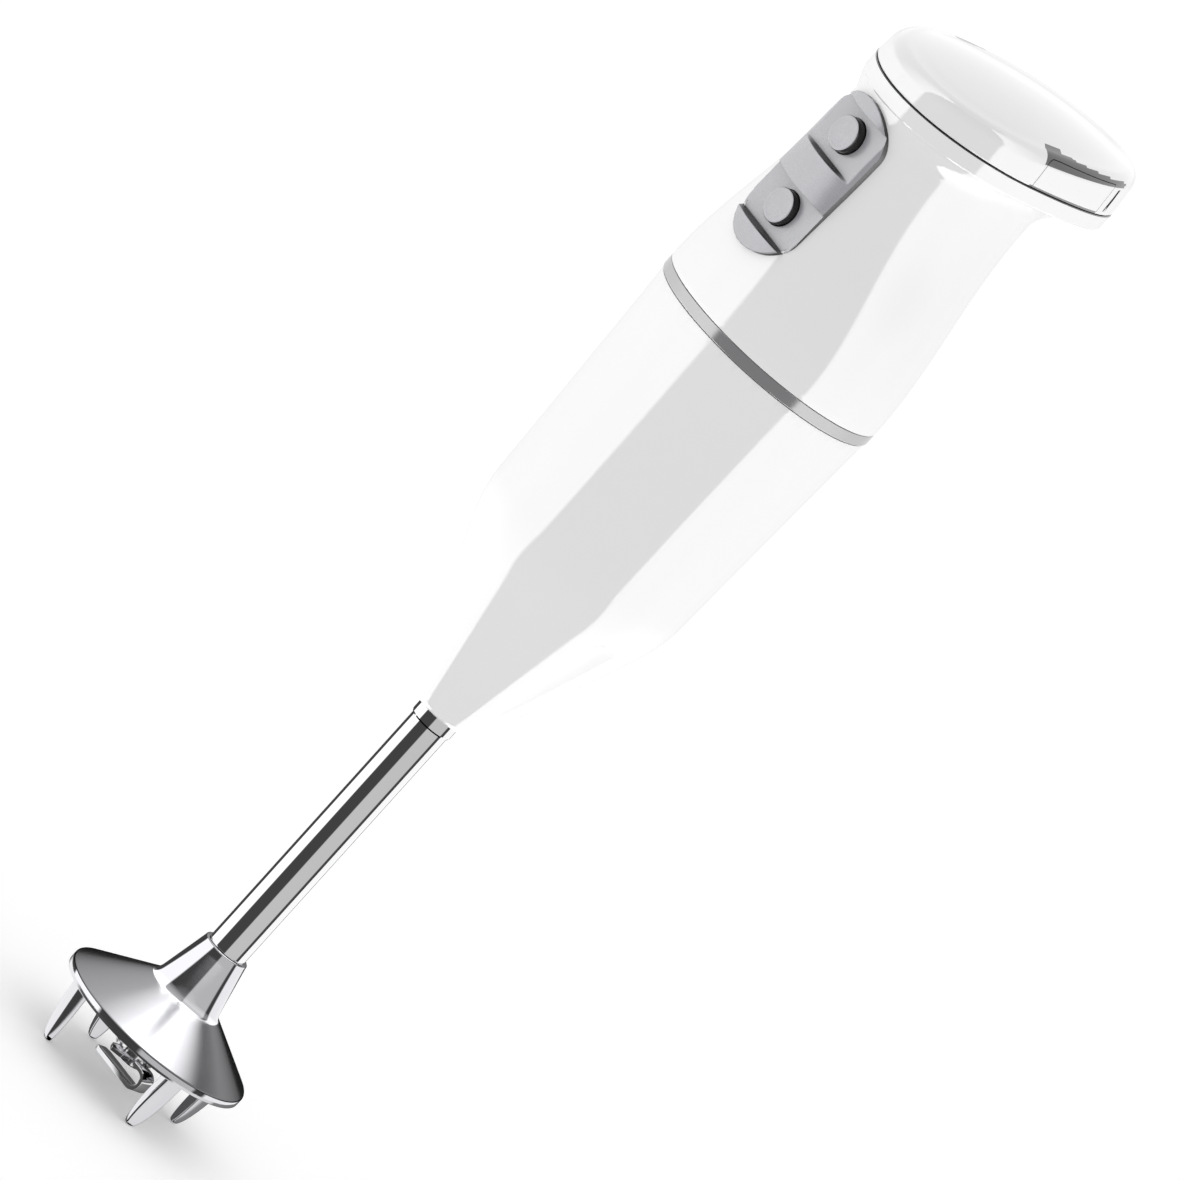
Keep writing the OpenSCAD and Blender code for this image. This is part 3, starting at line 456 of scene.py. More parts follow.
def pad_outline(d, n=40):
    top = [((PAD_W - d) * math.cos(math.pi * i / n),
            PAD_HIGH - d - PAD_END + PAD_END * math.sin(math.pi * i / n)) for i in range(n + 1)]
    low = [((PAD_W - d) * math.cos(math.pi + math.pi * i / n),
            PAD_LOW + d + PAD_END + PAD_END * math.sin(math.pi + math.pi * i / n))
           for i in range(n + 1)]
    return top + low


def pad_prism(name, d):
    return prism(name, pad_outline(d), "y", TOOL_FRONT, TOOL_BACK)


def box(name, low, high):
    (x0, y0, z0), (x1, y1, z1) = low, high
    return prism(name, [(x0, y0), (x1, y0), (x1, y1), (x0, y1)], "z", z0, z1)


def rod_y(name, r, y0, y1, z):
    n = 128
    return prism(name, [(r * math.cos(2 * math.pi * i / n), z + r * math.sin(2 * math.pi * i / n))
                        for i in range(n)], "y", y0, y1)


def body_front(x, z, d):
    """Y of the handle's front at x and z, grown outwards by d."""
    k = 0.5 + 0.5 * np.cos(math.pi * (np.minimum(z, WAIST_Z) - SHELL_Z) / (WAIST_Z - SHELL_Z))
    t = np.clip((z - WAIST_Z) / 5.46, 0, 1)
    out = 0.5 - 0.5 * np.cos(math.pi * t)
    bx = mix(mix(WAIST_X, SHOULDER_R, k), CAP_X - 0.3, out) + d
    by = mix(mix(WAIST_Y, SHOULDER_R, k), CAP_FRONT - 0.3, out) + d
    return -by * np.sqrt(np.clip(1 - (x / bx) ** 2, 0, 1))


def pad_half(z):
    over = np.maximum(np.maximum(PAD_LOW + PAD_END - z, z - PAD_HIGH + PAD_END), 0) / PAD_END
    return PAD_W * np.sqrt(np.clip(1 - over ** 2, 0, 1))


def pad_front(x, z):
    """Y of the pad's face and its share of painted shade along the panels' steps, over a grid of x and
    z.
    """
    y = body_front(x, z, PAD_PROUD)
    painted_shade_share = np.zeros_like(y)
    for mid, face, low, high in PANELS:
        flat = face + PANEL_SLOPE * (z - mid)
        inside = ease((z - mid - low) / 0.9) * ease((mid + high - z) / 0.45)
        panel = np.maximum(y, flat)
        step = panel - y
        y = mix(y, panel, inside)
        up = z - mid - low
        down = mid + high - z
        # Painted shade along each panel's steps: strong at its lower end, weaker at its upper end,
        # more where the step is taller.
        shade = np.maximum(np.exp(-np.maximum(up - 0.7, 0) / 0.55) * (up > 0.15),
                           0.75 * np.exp(-np.maximum(down - 0.3, 0) / 0.25) * (down > 0.1))
        painted_shade_share = np.maximum(painted_shade_share, shade * np.clip(step / 2.2, 0, 1) * ((up > 0) & (down > 0)))
    edge = np.array(pad_outline(0, 90))
    gap = np.min(np.hypot(x[..., None] - edge[:, 0], z[..., None] - edge[:, 1]), axis=-1)
    near = np.clip(PAD_EDGE - gap, 0, PAD_EDGE)
    y = y + PAD_EDGE - np.sqrt(np.maximum(PAD_EDGE ** 2 - near ** 2, 0))
    return y, painted_shade_share


def make_pad():
    zs = list(np.linspace(PAD_LOW + 0.02, PAD_HIGH - 0.02, 150))
    zs += [PAD_LOW + v for v in (0.08, 0.18, 0.32)] + [PAD_HIGH - v for v in (0.08, 0.18, 0.32)]
    for mid, _, low, high in PANELS:
        zs += list(mid + low + np.linspace(0, 1.5, 12)) + list(mid + high - np.linspace(0, 0.9, 9))
    zs = np.array(sorted(set(round(float(v), 3) for v in zs)))
    u = np.sin(np.linspace(-1, 1, 73) * math.pi / 2)
    x = u[None, :] * pad_half(zs)[:, None]
    z = np.repeat(zs[:, None], len(u), 1)
    y, _ = pad_front(x, z)
    rings = []
    for k in range(len(zs)):
        front = [(x[k, i], y[k, i], zs[k]) for i in range(len(u))]
        back = [(x[k, i], PAD_BACK, zs[k]) for i in range(len(u) - 1, -1, -4)]
        rings.append(front + back)
    pad = loft("pad", rings)
    tidy_normals(pad)
    tools = [rod_y("hole", BUTTON_R + 0.3, TOOL_FRONT, TOOL_BACK, z0) for z0, *_ in PANELS]
    tools += [rod_y("seat", BUTTON_R + 1.5, BUTTON_BACK - 0.8, TOOL_BACK, z0)
              for z0, *_ in PANELS]
    lip = combine(body_shell_front(0.05), [pad_prism("pad_plug", WINDOW_INSET + 0.1)])
    combine(pad, tools + [lip])

    # Painted shade: the pad's side walls set back from its face go near black, and its panels' steps
    # take the shade from pad_front.
    def painted_shade_rule(mid, nor):
        face, step = pad_front(mid[:, 0], mid[:, 2])
        wall = np.hypot(nor[:, 0], nor[:, 2]) > 0.93
        low = mid[:, 1] > face + 0.1
        return np.where(wall & low, 1.0, step)

    painted_shade_and_satin(pad, painted_shade_rule)
    return smooth(pad, 28)


def body_shell_front(d):
    """The front of the handle's body, grown by d, as a block that the pad is cut to."""
    zs = np.linspace(PAD_LOW - 3, PAD_HIGH + 2, 60)
    xs = np.linspace(-16, 16, 65)
    rings = []
    for z in zs:
        front = [(x, float(body_front(np.array(x), np.array(z), d)), z) for x in xs]
        rings.append(front + [(16, TOOL_BACK, z), (-16, TOOL_BACK, z)])
    o = loft("pad_lip", rings)
    tidy_normals(o)
    return o


def make_button(name, z):
    face = BUTTON_FACE
    outline = [(0.01, face + 0.14), (2.0, face + 0.14), (3.7, face + 0.14), (4.1, face + 0.07),
               (4.35, face)]
    outline += [(r, face + 0.5 - v) for r, v in arc(BUTTON_R - 0.5, 0, 0.5, 90, 0, 8)]
    outline += [(BUTTON_R, face + 1.2), (BUTTON_R, BUTTON_BACK - 0.5),
                (BUTTON_R + 1.1, BUTTON_BACK - 0.5), (BUTTON_R + 1.1, BUTTON_BACK + 0.5),
                (0.01, BUTTON_BACK + 0.5)]
    n = 128
    turn = [(math.cos(2 * math.pi * i / n), math.sin(2 * math.pi * i / n)) for i in range(n)]
    o = loft(name, [[(r * c, y, z + r * s) for c, s in turn] for r, y in outline])
    tidy_normals(o)
    # Painted shade: the button's side wall, set back from its face, goes near black.
    painted_shade_and_satin(o, lambda mid, nor: np.where((np.abs(nor[:, 1]) < 0.75) & (mid[:, 1] > face + 0.16),
                                        1.0, 0.0))
    return smooth(o, 28)


piece(make_pad(), "blender_body", "grey_pad", "button_pad")
piece(make_button("low_button_cap", PANELS[0][0]), "lower_button", "grey_pad", "button_low")
piece(make_button("high_button_cap", PANELS[1][0]), "upper_button", "grey_pad", "button_high")

# ------------------------------------------------------------------ handle shell


SLEEVE_R, SLEEVE_FIT = 22.85, 0.15


def make_handle():
    shell = handle_skin("handle", 0)
    post = [(SLEEVE_R + SLEEVE_FIT) * np.array((math.cos(t), math.sin(t)))
            for t in np.linspace(0, 2 * math.pi, 160, endpoint=False)]
    tools = [handle_skin("handle_in", -WALL), prism("battery_bore", post, "z", 300, 400),
             pad_prism("pad_window", WINDOW_INSET)]
    combine(shell, tools)

    # Painted shade: the faces in the seam gap under the cap, and the rim that sits on the joint ring,
    # go dark.
    def painted_shade_rule(mid, nor):
        top = np.abs(mid[:, 2] - seam(mid[:, 1]) + SEAM_GAP / 2) < 0.17
        return np.where(top | (mid[:, 2] < SHELL_Z + 0.02), 1.0, 0.0)

    painted_shade_and_satin(shell, painted_shade_rule)
    return smooth(shell, 30)


piece(make_handle(), "blender_body", "white_shell", "handle_shell")

# ------------------------------------------------------------------ battery cap and clips

CLIP_FRONT, CLIP_REAR, CLIP_H, CLIP_GAP, CLIP_WALL, CLIP_CUT = 1.2, 33.5, 9.3, 0.18, 1.8, 20.5
CLIP_ROOM, CLIP_REACH = 1.6, 20
DECK_TOP, CASE_R, CASE_TOP = 362.2, 21.4, 360.4


def clip_window(name, d, side):
    """The clip's outline as a block on one side, grown by d. The cap's window, which is grown,
    starts further in than the clip, so that the clip has room to move."""
    corner = 2.2
    front, rear = CLIP_FRONT - d, CLIP_REAR + d
    top_front = seam(front) + CLIP_H + d
    ys = np.linspace(front + corner, rear, 14)[1:]
    top = arc(front + corner, top_front - corner, corner, 180, 90, 10)
    lift = np.linspace(0, 0.4, len(ys))
    top += [(y, seam(y) + CLIP_H + d + k) for y, k in zip(ys, lift)]
    outline = [(front, seam(front) - 4)] + top + [(rear, seam(rear) - 4)]
    start = CLIP_CUT + (0 if d > 0 else CLIP_ROOM)
    x0, x1 = sorted((side * start, side * (CLIP_CUT + CLIP_REACH)))
    return prism(name, outline, "x", x0, x1)


def make_cap():
    cap = cap_skin("cap", 0)
    hollow = combine(cap_skin("cap_in", WALL),
                     [box("deck", (-50, -60, DECK_TOP - 20), (50, 60, DECK_TOP))])
    pocket = [(CASE_R + 0.05) * np.array((math.cos(t), math.sin(t)))
              for t in np.linspace(0, 2 * math.pi, 160, endpoint=False)]
    tools = [hollow, prism("case_pocket", pocket, "z", 340, CASE_TOP)]
    tools += [clip_window("window", CLIP_GAP, s) for s in (-1, 1)]
    combine(cap, tools)
    rind = combine(cap_skin("rind", 0), [cap_skin("rind_in", 0.55)])
    groove = [(37.0, seam(37.0) + 1.4), (38.6, seam(38.6) + 1.4), (38.6, seam(38.6) + 8.6),
              (37.0, seam(37.0) + 8.6)]
    combine(rind, [prism("groove", groove, "x", -40, 40)], "INTERSECT")
    combine(cap, [rind])
    for s in (-1, 1):
        x0, x1 = sorted((s * 18, s * 23.35))
        combine(cap, [box("post", (x0, 9.6, DECK_TOP - 0.5), (x1, 14.4, 367.4))], "UNION")
    # Painted shade: the faces in the seam gap go dark, and so do faces inside the drafted side near
    # the clips, up to 10.8 mm over the seam.
    painted_shade_and_satin(cap, lambda mid, nor: np.maximum(
        np.abs(mid[:, 2] - seam(mid[:, 1]) - SEAM_GAP / 2) < 0.1,
        off_skin(mid) & (mid[:, 1] > 0) & (mid[:, 1] < 40) & (mid[:, 2] < seam(mid[:, 1]) + 10.8)))
    return smooth(cap, 30)


def off_skin(mid):
    """True where a face lies inside the cap's drafted side. Its rounded top edge counts too."""
    s = (mid[:, 2] - seam(mid[:, 1])) * DRAFT
    reach = np.where(mid[:, 1] < 0, CAP_FRONT, CAP_REAR) - s
    return np.hypot(mid[:, 0] / (CAP_X - s), mid[:, 1] / reach) < 0.996


def make_clip(name, side):
    clip = cap_skin(name, 0)
    combine(clip, [cap_skin("clip_in", CLIP_WALL)])
    combine(clip, [clip_window("clip_edge", 0, side)], "INTERSECT")
    # Painted shade: the clip's faces inside the cap's drafted side, its edges and inside, go dark.
    painted_shade_and_satin(clip, lambda mid, nor: off_skin(mid))
    return smooth(clip, 30)


piece(make_cap(), "battery_pack", "white_shell", "battery_cap")
piece(make_clip("left_clip_skin", -1), "left_clip", "white_shell", "clip_left")
piece(make_clip("right_clip_skin", 1), "right_clip", "white_shell", "clip_right")

# ------------------------------------------------------------------ motor housing and ring

HOUSING_Z, CONE_LOW_R, CONE_TOP_Z, CONE_TOP_R, BEND = 139.7, 12.6, 195.4, 32.9, 7.0
BARREL_TOP_R = SHOULDER_R - 0.4
CONE = math.atan((CONE_TOP_R - CONE_LOW_R) / (CONE_TOP_Z - HOUSING_Z))
TUBE_R = 6.0
BASE_R, BASE_ROUND = 9.6, 3


def barrel_r(z):
    return CONE_TOP_R + (BARREL_TOP_R - CONE_TOP_R) * ((z - CONE_TOP_Z) / (RING_Z - CONE_TOP_Z)) ** 1.1


def curve(a, b, c, n):
    """A parabola from a to c that heads for b."""
    return [tuple((1 - t) ** 2 * p + 2 * t * (1 - t) * q + t * t * r for p, q, r in zip(a, b, c))
            for t in np.linspace(0, 1, n + 1)]


def flute_cutter(side):
    length, low_r, top_r, low_cut, top_cut = 47.0, 5.0, 15.0, 0.8, 1.4
    low_out, top_out = low_r - low_cut, top_r - top_cut
    tilt = math.atan((top_out - low_out) / length)
    h = length / math.cos(tilt)
    grow = (top_r - low_r) / h
    rows = [(low_r + grow * z, z) for z in np.linspace(-8, h, 30)]
    rows += [(top_r * math.cos(a), h + top_r * 0.9 * math.sin(a))
             for a in np.linspace(0, math.pi / 2 * 0.998, 26)[1:]]
    turn = [(math.cos(2 * math.pi * i / 200), math.sin(2 * math.pi * i / 200)) for i in range(200)]
    o = loft("flute", [[(r * c, r * s, z) for c, s in turn] for r, z in rows])
    tidy_normals(o)
    m = (Matrix.Rotation(math.radians(side), 4, "Z")
         @ Matrix.Translation(Vector((CONE_LOW_R, 0, HOUSING_Z)) * MM)
         @ Matrix.Rotation(CONE, 4, "Y") @ Matrix.Translation(Vector((low_out, 0, 0)) * MM)
         @ Matrix.Rotation(tilt, 4, "Y"))
    o.data.transform(m)
    return o


# The straight part of the cone, from the rounded base up to the bend
FLANK = ((BASE_R + BASE_ROUND * math.cos(CONE),
          HOUSING_Z + BASE_ROUND - BASE_ROUND * math.sin(CONE)),
         (CONE_TOP_R - BEND * math.tan(CONE), CONE_TOP_Z - BEND))


def make_housing():
    low = FLANK[1]
    high = (barrel_r(CONE_TOP_Z + BEND), CONE_TOP_Z + BEND)
    outline = arc(BASE_R, HOUSING_Z + BASE_ROUND, BASE_ROUND, -90, -math.degrees(CONE), 12)
    last = outline[-1]
    outline += [(mix(last[0], low[0], t), mix(last[1], low[1], t))
                for t in np.linspace(0, 1, 16)[1:-1]]
    outline += curve(low, (CONE_TOP_R, CONE_TOP_Z), high, 16)
    outline += [(barrel_r(z), z) for z in np.linspace(CONE_TOP_Z + BEND, RING_Z - 0.3, 22)[1:]]
    outline += [(BARREL_TOP_R - 0.1, RING_Z - 0.08), (BARREL_TOP_R - 0.3, RING_Z),
                (BARREL_TOP_R - WALL, RING_Z), (CONE_TOP_R - WALL - 0.3, CONE_TOP_Z),
                (CONE_LOW_R + 1.2 - WALL, HOUSING_Z + 2.6), (TUBE_R + 0.05, HOUSING_Z + 2.6),
                (TUBE_R + 0.05, HOUSING_Z)]
    housing = lathe("housing", outline, 360)
    combine(housing, [flute_cutter(0), flute_cutter(180)])

    # Painted shade: faces set in from the straight cone get a light shade that fades across each
    # flute, and the top rim under the joint ring goes dark.
    def painted_shade_rule(mid, nor):
        r = np.hypot(mid[:, 0], mid[:, 1])
        start, stop = FLANK
        cone = mix(start[0], stop[0], (mid[:, 2] - start[1]) / (stop[1] - start[1]))
        inset = np.clip((cone - r - 0.04) / 0.1, 0, 1) * (mid[:, 2] < stop[1]) * (r > cone - 1.9)
        across = np.where(mid[:, 0] > 0, mid[:, 1], -mid[:, 1]) / np.maximum(r * 0.48, 1)
        shade = 0.22 * inset * np.clip(0.42 - 0.58 * across, 0, 1) * (mid[:, 2] > start[1])
        return np.where(mid[:, 2] > RING_Z - 0.09, 1.0, shade)

    painted_shade_and_satin(housing, painted_shade_rule)
    return smooth(housing, 24)


def make_ring():
    r = SHOULDER_R - 0.1
    outline = [(32.4, RING_Z - 4), (BARREL_TOP_R - WALL - 0.4, RING_Z - 4),
               (BARREL_TOP_R - WALL - 0.4, RING_Z + 0.05), (r - 0.5, RING_Z + 0.05)]
    outline += [(x, z) for x, z in arc(r - 0.55, RING_Z + 0.62, 0.55, -80, 0, 8)]
    outline += [(r, RING_Z + 1.8), (r, RING_Z + RING_H - 0.4)]
    outline += [(x, z) for x, z in arc(r - 0.25, RING_Z + RING_H - 0.36, 0.25, 0, 85, 5)]
    outline += [(SHOULDER_R - WALL - 0.4, RING_Z + RING_H - 0.1), (SHOULDER_R - WALL - 0.4, 278.9),
                (32.4, 278.9)]
    return smooth(lathe("ring", outline, 360), 30)


piece(make_housing(), "blender_body", "white_shell", "motor_housing")
piece(make_ring(), "blender_body", "grey_ring", "joint_ring")

# ------------------------------------------------------------------ blade guard

GUARD_R, RIM_Z, RIM_BAND, NECK_R, NECK_Z = 30.4, 18.6, 2.2, 10.2, 33.5
FERRULE_Z, FERRULE_R, PRONG_W, PRONG_TURN, PRONG_ROOT = 49.8, 7.1, 5.6, -18.0, 21.4


def make_prong(turn):
    """One prong: a rounded strip, broad at the root and drawn to a small flat foot."""
    rows = []
    zs = [0, 0.12, 0.35] + list(np.linspace(0.8, 13, 24)) + [15, 17.5, 19.5, PRONG_ROOT]
    for z in zs:
        half = PRONG_W / 2
        if z < 13:
            half = mix(0.75, PRONG_W / 2, math.sqrt(1 - (1 - z / 13) ** 2))
        out = 24.1 + 4.4 * (z / PRONG_ROOT) ** 0.62
        inner = 22.7 + 1.5 * z / PRONG_ROOT
        cut = 0.22 * (1 - min(z, 0.35) / 0.35)
        half, out, inner = half - cut, out - cut, inner + cut
        c = min(0.42, half * 0.7, (out - inner) * 0.45)
        corner = [(out - c, half - c, 0), (inner + c, half - c, 90), (inner + c, -half + c, 180),
                  (out - c, -half + c, 270)]
        ring_points = []
        for x, y, a in corner:
            for k in range(7):
                t = math.radians(a + 15 * k)
                px, py = x + c * math.cos(t), y + c * math.sin(t)
                ring_points.append((px - py * py / 56, py, z))
        rows.append(ring_points)
    o = loft("prong", rows)
    tidy_normals(o)
    o.data.transform(Matrix.Rotation(math.radians(turn), 4, "Z"))
    return o


def make_guard():
    r = GUARD_R
    outer = [(r - 0.3, RIM_Z), (r - 0.14, RIM_Z + 0.05), (r - 0.06, RIM_Z + 0.16),
             (r - 0.03, RIM_Z + 0.36)]
    outer += arc(r - 0.7, RIM_Z + RIM_BAND, 0.7, 3, 60, 10)
    a, b = outer[-1], (NECK_R + 1.3, NECK_Z - 0.95)
    outer += [(mix(a[0], b[0], t), mix(a[1], b[1], t)) for t in np.linspace(0, 1, 14)[1:-1]]
    outer += curve(b, (NECK_R + 0.42, NECK_Z - 0.35), (NECK_R + 0.05, NECK_Z + 1.3), 10)
    a, b = outer[-1], (FERRULE_R + 0.13, FERRULE_Z - 0.9)
    outer += [(mix(a[0], b[0], t), mix(a[1], b[1], t)) for t in np.linspace(0, 1, 8)[1:]]
    outer += arc(FERRULE_R - 0.5, FERRULE_Z - 0.6, 0.6, 12, 90, 6)
    inner = [(6.02, FERRULE_Z), (6.02, 30), (3.6, 30), (3.6, 28), (5.4, 28), (5.4, 24.4), (7.6, 24.4),
             (8, 30.4), (9.8, 31.1)]
    a, b = inner[-1], (r - 3.4, RIM_Z + RIM_BAND + 0.6)
    inner += [(mix(a[0], b[0], t), mix(a[1], b[1], t)) for t in np.linspace(0, 1, 8)[1:]]
    inner += [(r - 2.2, RIM_Z + RIM_BAND - 0.4), (r - 2.1, RIM_Z)]
    guard = lathe("guard", outer + inner, 320)
    combine(guard, [make_prong(PRONG_TURN + 90 * i) for i in range(4)], "UNION")
    painted_shade_and_satin(guard, lambda mid, nor: np.where(
        (nor[:, 2] > 0.8) & (mid[:, 2] > RIM_Z + RIM_BAND) & (mid[:, 2] < NECK_Z - 0.6), 1.0, 0.0),
           "satin")
    return smooth(guard, 34)


piece(make_guard(), "blender_body", "guard_steel", "blade_guard")

# ------------------------------------------------------------------ blade

BLADE_T, BLADE_W, BLADE_REACH, BLADE_Z, BLADE_LOW = 1.25, 5.4, 10.2, 8.8, 3.2
BLADE_TURN, HUB_R = 9, 4.3


def make_blade():
    out = (BLADE_Z + BLADE_T - BLADE_LOW) / 2
    x, z = BLADE_REACH - out, BLADE_LOW + out
    outline = [(0, BLADE_Z), (x, BLADE_Z)] + arc(x, z, out - BLADE_T, 90, -90, 40)
    outline += [(-9.4, BLADE_LOW + BLADE_T), (-9.4, BLADE_LOW)] + arc(x, z, out, -90, 90, 48)
    outline += [(-HUB_R - 0.6, BLADE_Z + BLADE_T), (-11, BLADE_Z + BLADE_T + 1.6),
                (-11, BLADE_Z + 1.6), (-HUB_R - 0.6, BLADE_Z)]
    w = BLADE_W / 2
    blade = prism("blade", outline, "y", -w - 1, w + 1)
    plan = [(-12.4, -0.4), (-7.6, -w), (BLADE_REACH + 1, -w), (BLADE_REACH + 1, w), (-7.6, w),
            (-12.4, 0.4)]
    combine(blade, [prism("plan", plan, "z", 0, 20)], "INTERSECT")
    cross = [(0, -10), (2.6, -7.4), (3, 0), (2.6, 7.4), (0, 10), (-2.6, 7.4), (-3, 0), (-2.6, -7.4)]

    def disc(name, r, z0, z1):
        turn = [2 * math.pi * i / 96 for i in range(96)]
        return prism(name, [(r * math.cos(t), r * math.sin(t)) for t in turn], "z", z0, z1)

    combine(blade, [prism("cross", cross, "z", BLADE_Z, BLADE_Z + BLADE_T)], "UNION")
    combine(blade, [disc("middle", HUB_R + 0.5, BLADE_Z, BLADE_Z + BLADE_T)], "UNION")
    combine(blade, [disc("bore", 3.32, BLADE_Z - 1, BLADE_Z + 3)])
    blade.data.transform(Matrix.Rotation(math.radians(BLADE_TURN), 4, "Z"))
    return smooth(soften(blade, 0.16, 2, 40), 40)


piece(make_blade(), "blade", "blade_steel", "cutting_blade")

# ------------------------------------------------------------------ finishes of the CAD nodes

for row in frame["record"]["subparts"]:
    dress(frame["nodes"][row["node"]], row["material_slot"])

# ------------------------------------------------------------------ studio

FLOOR_SIZE = 14.0


def plain(name, colour, strength, rough=0.9):
    mat = bpy.data.materials.new(name)
    mat.use_nodes = True
    n = Nodes(mat.node_tree)
    out = n.add("OutputMaterial")
    place = n.add("TexCoord").outputs["Object"]
    tone = n.ramp(n.noise(place, 3.0), [(0.3, tuple(c * 0.995 for c in colour)), (0.7, colour)])
    shader = n.add("BsdfPrincipled", {"Base Color": tone, "Roughness": rough,
                                      "Emission Color": (1, 1, 1, 1), "Emission Strength": strength,
                                      "Specular IOR Level": 0.1})
    n.tree.links.new(shader.outputs["BSDF"], out.inputs["Surface"])
    return mat


def only(obj, *kinds):
    """Leaves the object visible to these kinds of ray alone."""
    for k in ("camera", "diffuse", "glossy", "transmission", "volume_scatter", "shadow"):
        setattr(obj, "visible_" + k, k in kinds)


def add_floor():
    s = FLOOR_SIZE * 500
    floor = link("floor", [(-s, -s, -0.05), (s, -s, -0.05), (s, s, -0.05), (-s, s, -0.05)],
                 [(0, 1, 2, 3)])
    floor.data.materials.append(plain("floor_paint", (0.90, 0.90, 0.90), 0.26))
    floor.visible_glossy = False
    bm = bmesh.new()
    bmesh.ops.create_icosphere(bm, subdivisions=4, radius=40)
    mesh = bpy.data.meshes.new("backdrop")
    bm.to_mesh(mesh)
    bm.free()
    dome = bpy.data.objects.new("backdrop", mesh)
    scene.collection.objects.link(dome)
    glow = bpy.data.materials.new("backdrop_white")
    glow.use_nodes = True
    n = Nodes(glow.node_tree)
    out = n.add("OutputMaterial")
    lit = n.add("Emission", {"Color": (1, 1, 1, 1), "Strength": 1.0})
    n.tree.links.new(lit.outputs["Emission"], out.inputs["Surface"])
    mesh.materials.append(glow)
    only(dome, "camera")


SOFT_EDGE = 4


def softboxes(ground, *boxes):
    """Stops for a dim ring with softboxes on it, each as (bearing, half its width, brightness)."""
    stops = [(-180, ground)]
    for middle, half, bright in boxes:
        stops += [(middle - half - SOFT_EDGE, ground), (middle - half, bright),
                  (middle + half, bright), (middle + half + SOFT_EDGE, ground)]
    return stops + [(180, ground)]


# Softboxes and dark flags round the object, as (bearing from the camera in degrees, brightness).
# Each card lights only the pieces it is meant for.
DARK_LEFT, DARK_RIGHT = -42, 48
BODY_CARDS = [(-180, 1.05), (-160, 1.1), (-140, 1.7), (-120, 2.7), (-90, 4.6), (-60, 5.4),
              (DARK_LEFT - 1, 5.6), (DARK_LEFT + 1, 0.05), (DARK_RIGHT - 1, 0.05),
              (DARK_RIGHT + 1, 5.6), (60, 5.4), (90, 4.6), (120, 2.7), (140, 1.7), (160, 1.1),
              (180, 1.05)]
TOP_CARDS = [(-180, 1.6), (-100, 1.9), (DARK_LEFT - 1, 5.6), (DARK_LEFT + 1, 0.05),
             (DARK_RIGHT - 1, 0.05), (DARK_RIGHT + 1, 5.6), (100, 1.9), (180, 1.6)]
# Softboxes round the steel: a bright one on the left, a dim one in front, one on the right
STEEL_CARDS = softboxes(0.06, (-90, 30, 1.3), (40, 35, 0.6), (125, 30, 1.1))
PRONG_CARDS = [(-180, 0.1), (-130, 0.1), (-115, 1.1), (-78, 1.1), (-68, 0.12), (-20, 0.06),
               (33, 0.06), (38, 0.92), (80, 0.85), (84, 0.28), (120, 0.2), (180, 0.1)]
# Panel over the guard: (turn about the shaft from the camera, brightness seen on the bell)
BELL_LEFT = [(-15, 1.2), (-35, 0.5), (-80, 0.15)]
BELL_RIGHT = [(20, 1.5), (40, 0.1), (60, 0.3), (80, 0.15)]
PANEL_R, PANEL_Z = 500.0, 120.0
# Brightest value of the cards round the white pieces, and of those round the steel
CARD_TOP, STEEL_TOP = 5.6, 1.6
# The bell's middle: how far its surface normal tilts up, its radius, and the panel's height over it
BELL_TILT, BELL_MID_R, PANEL_ABOVE = 60.2, 20, 92.3


def panel_reach(turn):
    """How far from the shaft a mirror ray off the bell's middle meets the panel over it."""
    steep = math.radians(BELL_TILT)
    t, e = math.radians(turn), math.radians(VIEW_RISE)
    n = Vector((math.cos(steep) * math.cos(t), math.cos(steep) * math.sin(t), math.sin(steep)))
    v = Vector((math.cos(e), 0, math.sin(e)))
    ray = 2 * n.dot(v) * n - v
    spot = Vector((math.cos(t), math.sin(t), 0)) * BELL_MID_R + ray * (PANEL_ABOVE / ray.z)
    return min(math.hypot(spot.x, spot.y), PANEL_R) / PANEL_R


def sheet_wall(name, radius, low, high):
    """A wall round the shaft that faces inwards."""
    n = 96
    turn = [2 * math.pi * i / n for i in range(n)]
    points = [(radius * math.cos(t), radius * math.sin(t), z) for z in (low, high) for t in turn]
    return link(name, points, [((i + 1) % n, i, n + i, n + (i + 1) % n) for i in range(n)])


def turned_to_camera(n, place):
    return n.add("Mapping", {"Vector": place, "Rotation": (0, 0, math.radians(90 - VIEW_TURN))})


def bearing_ramp(n, place, cards, top, spread=None):
    """Brightness by bearing from the camera. spread widens the pattern about that bearing."""
    round_it = n.add("TexGradient", {"Vector": turned_to_camera(n, place).outputs["Vector"]},
                     gradient_type="RADIAL")
    share = round_it.outputs["Fac"]
    if spread is not None:
        off = n.add("Math", {0: share, 1: 0.5}, operation="SUBTRACT").outputs[0]
        off = n.add("Math", {0: off, 1: spread}, operation="DIVIDE").outputs[0]
        share = n.add("Math", {0: off, 1: 0.5}, operation="ADD").outputs[0]
    return n.ramp(share, [(a / 360 + 0.5, v / top) for a, v in cards])


def blend(n, value, low, high, a, b):
    """Fades from a to b as value goes from low to high."""
    share = n.add("MapRange", {"Value": value, "From Min": low, "From Max": high}).outputs[0]
    return n.add("Mix", {"Factor": share, "A": a, "B": b}, data_type="RGBA").outputs[2]


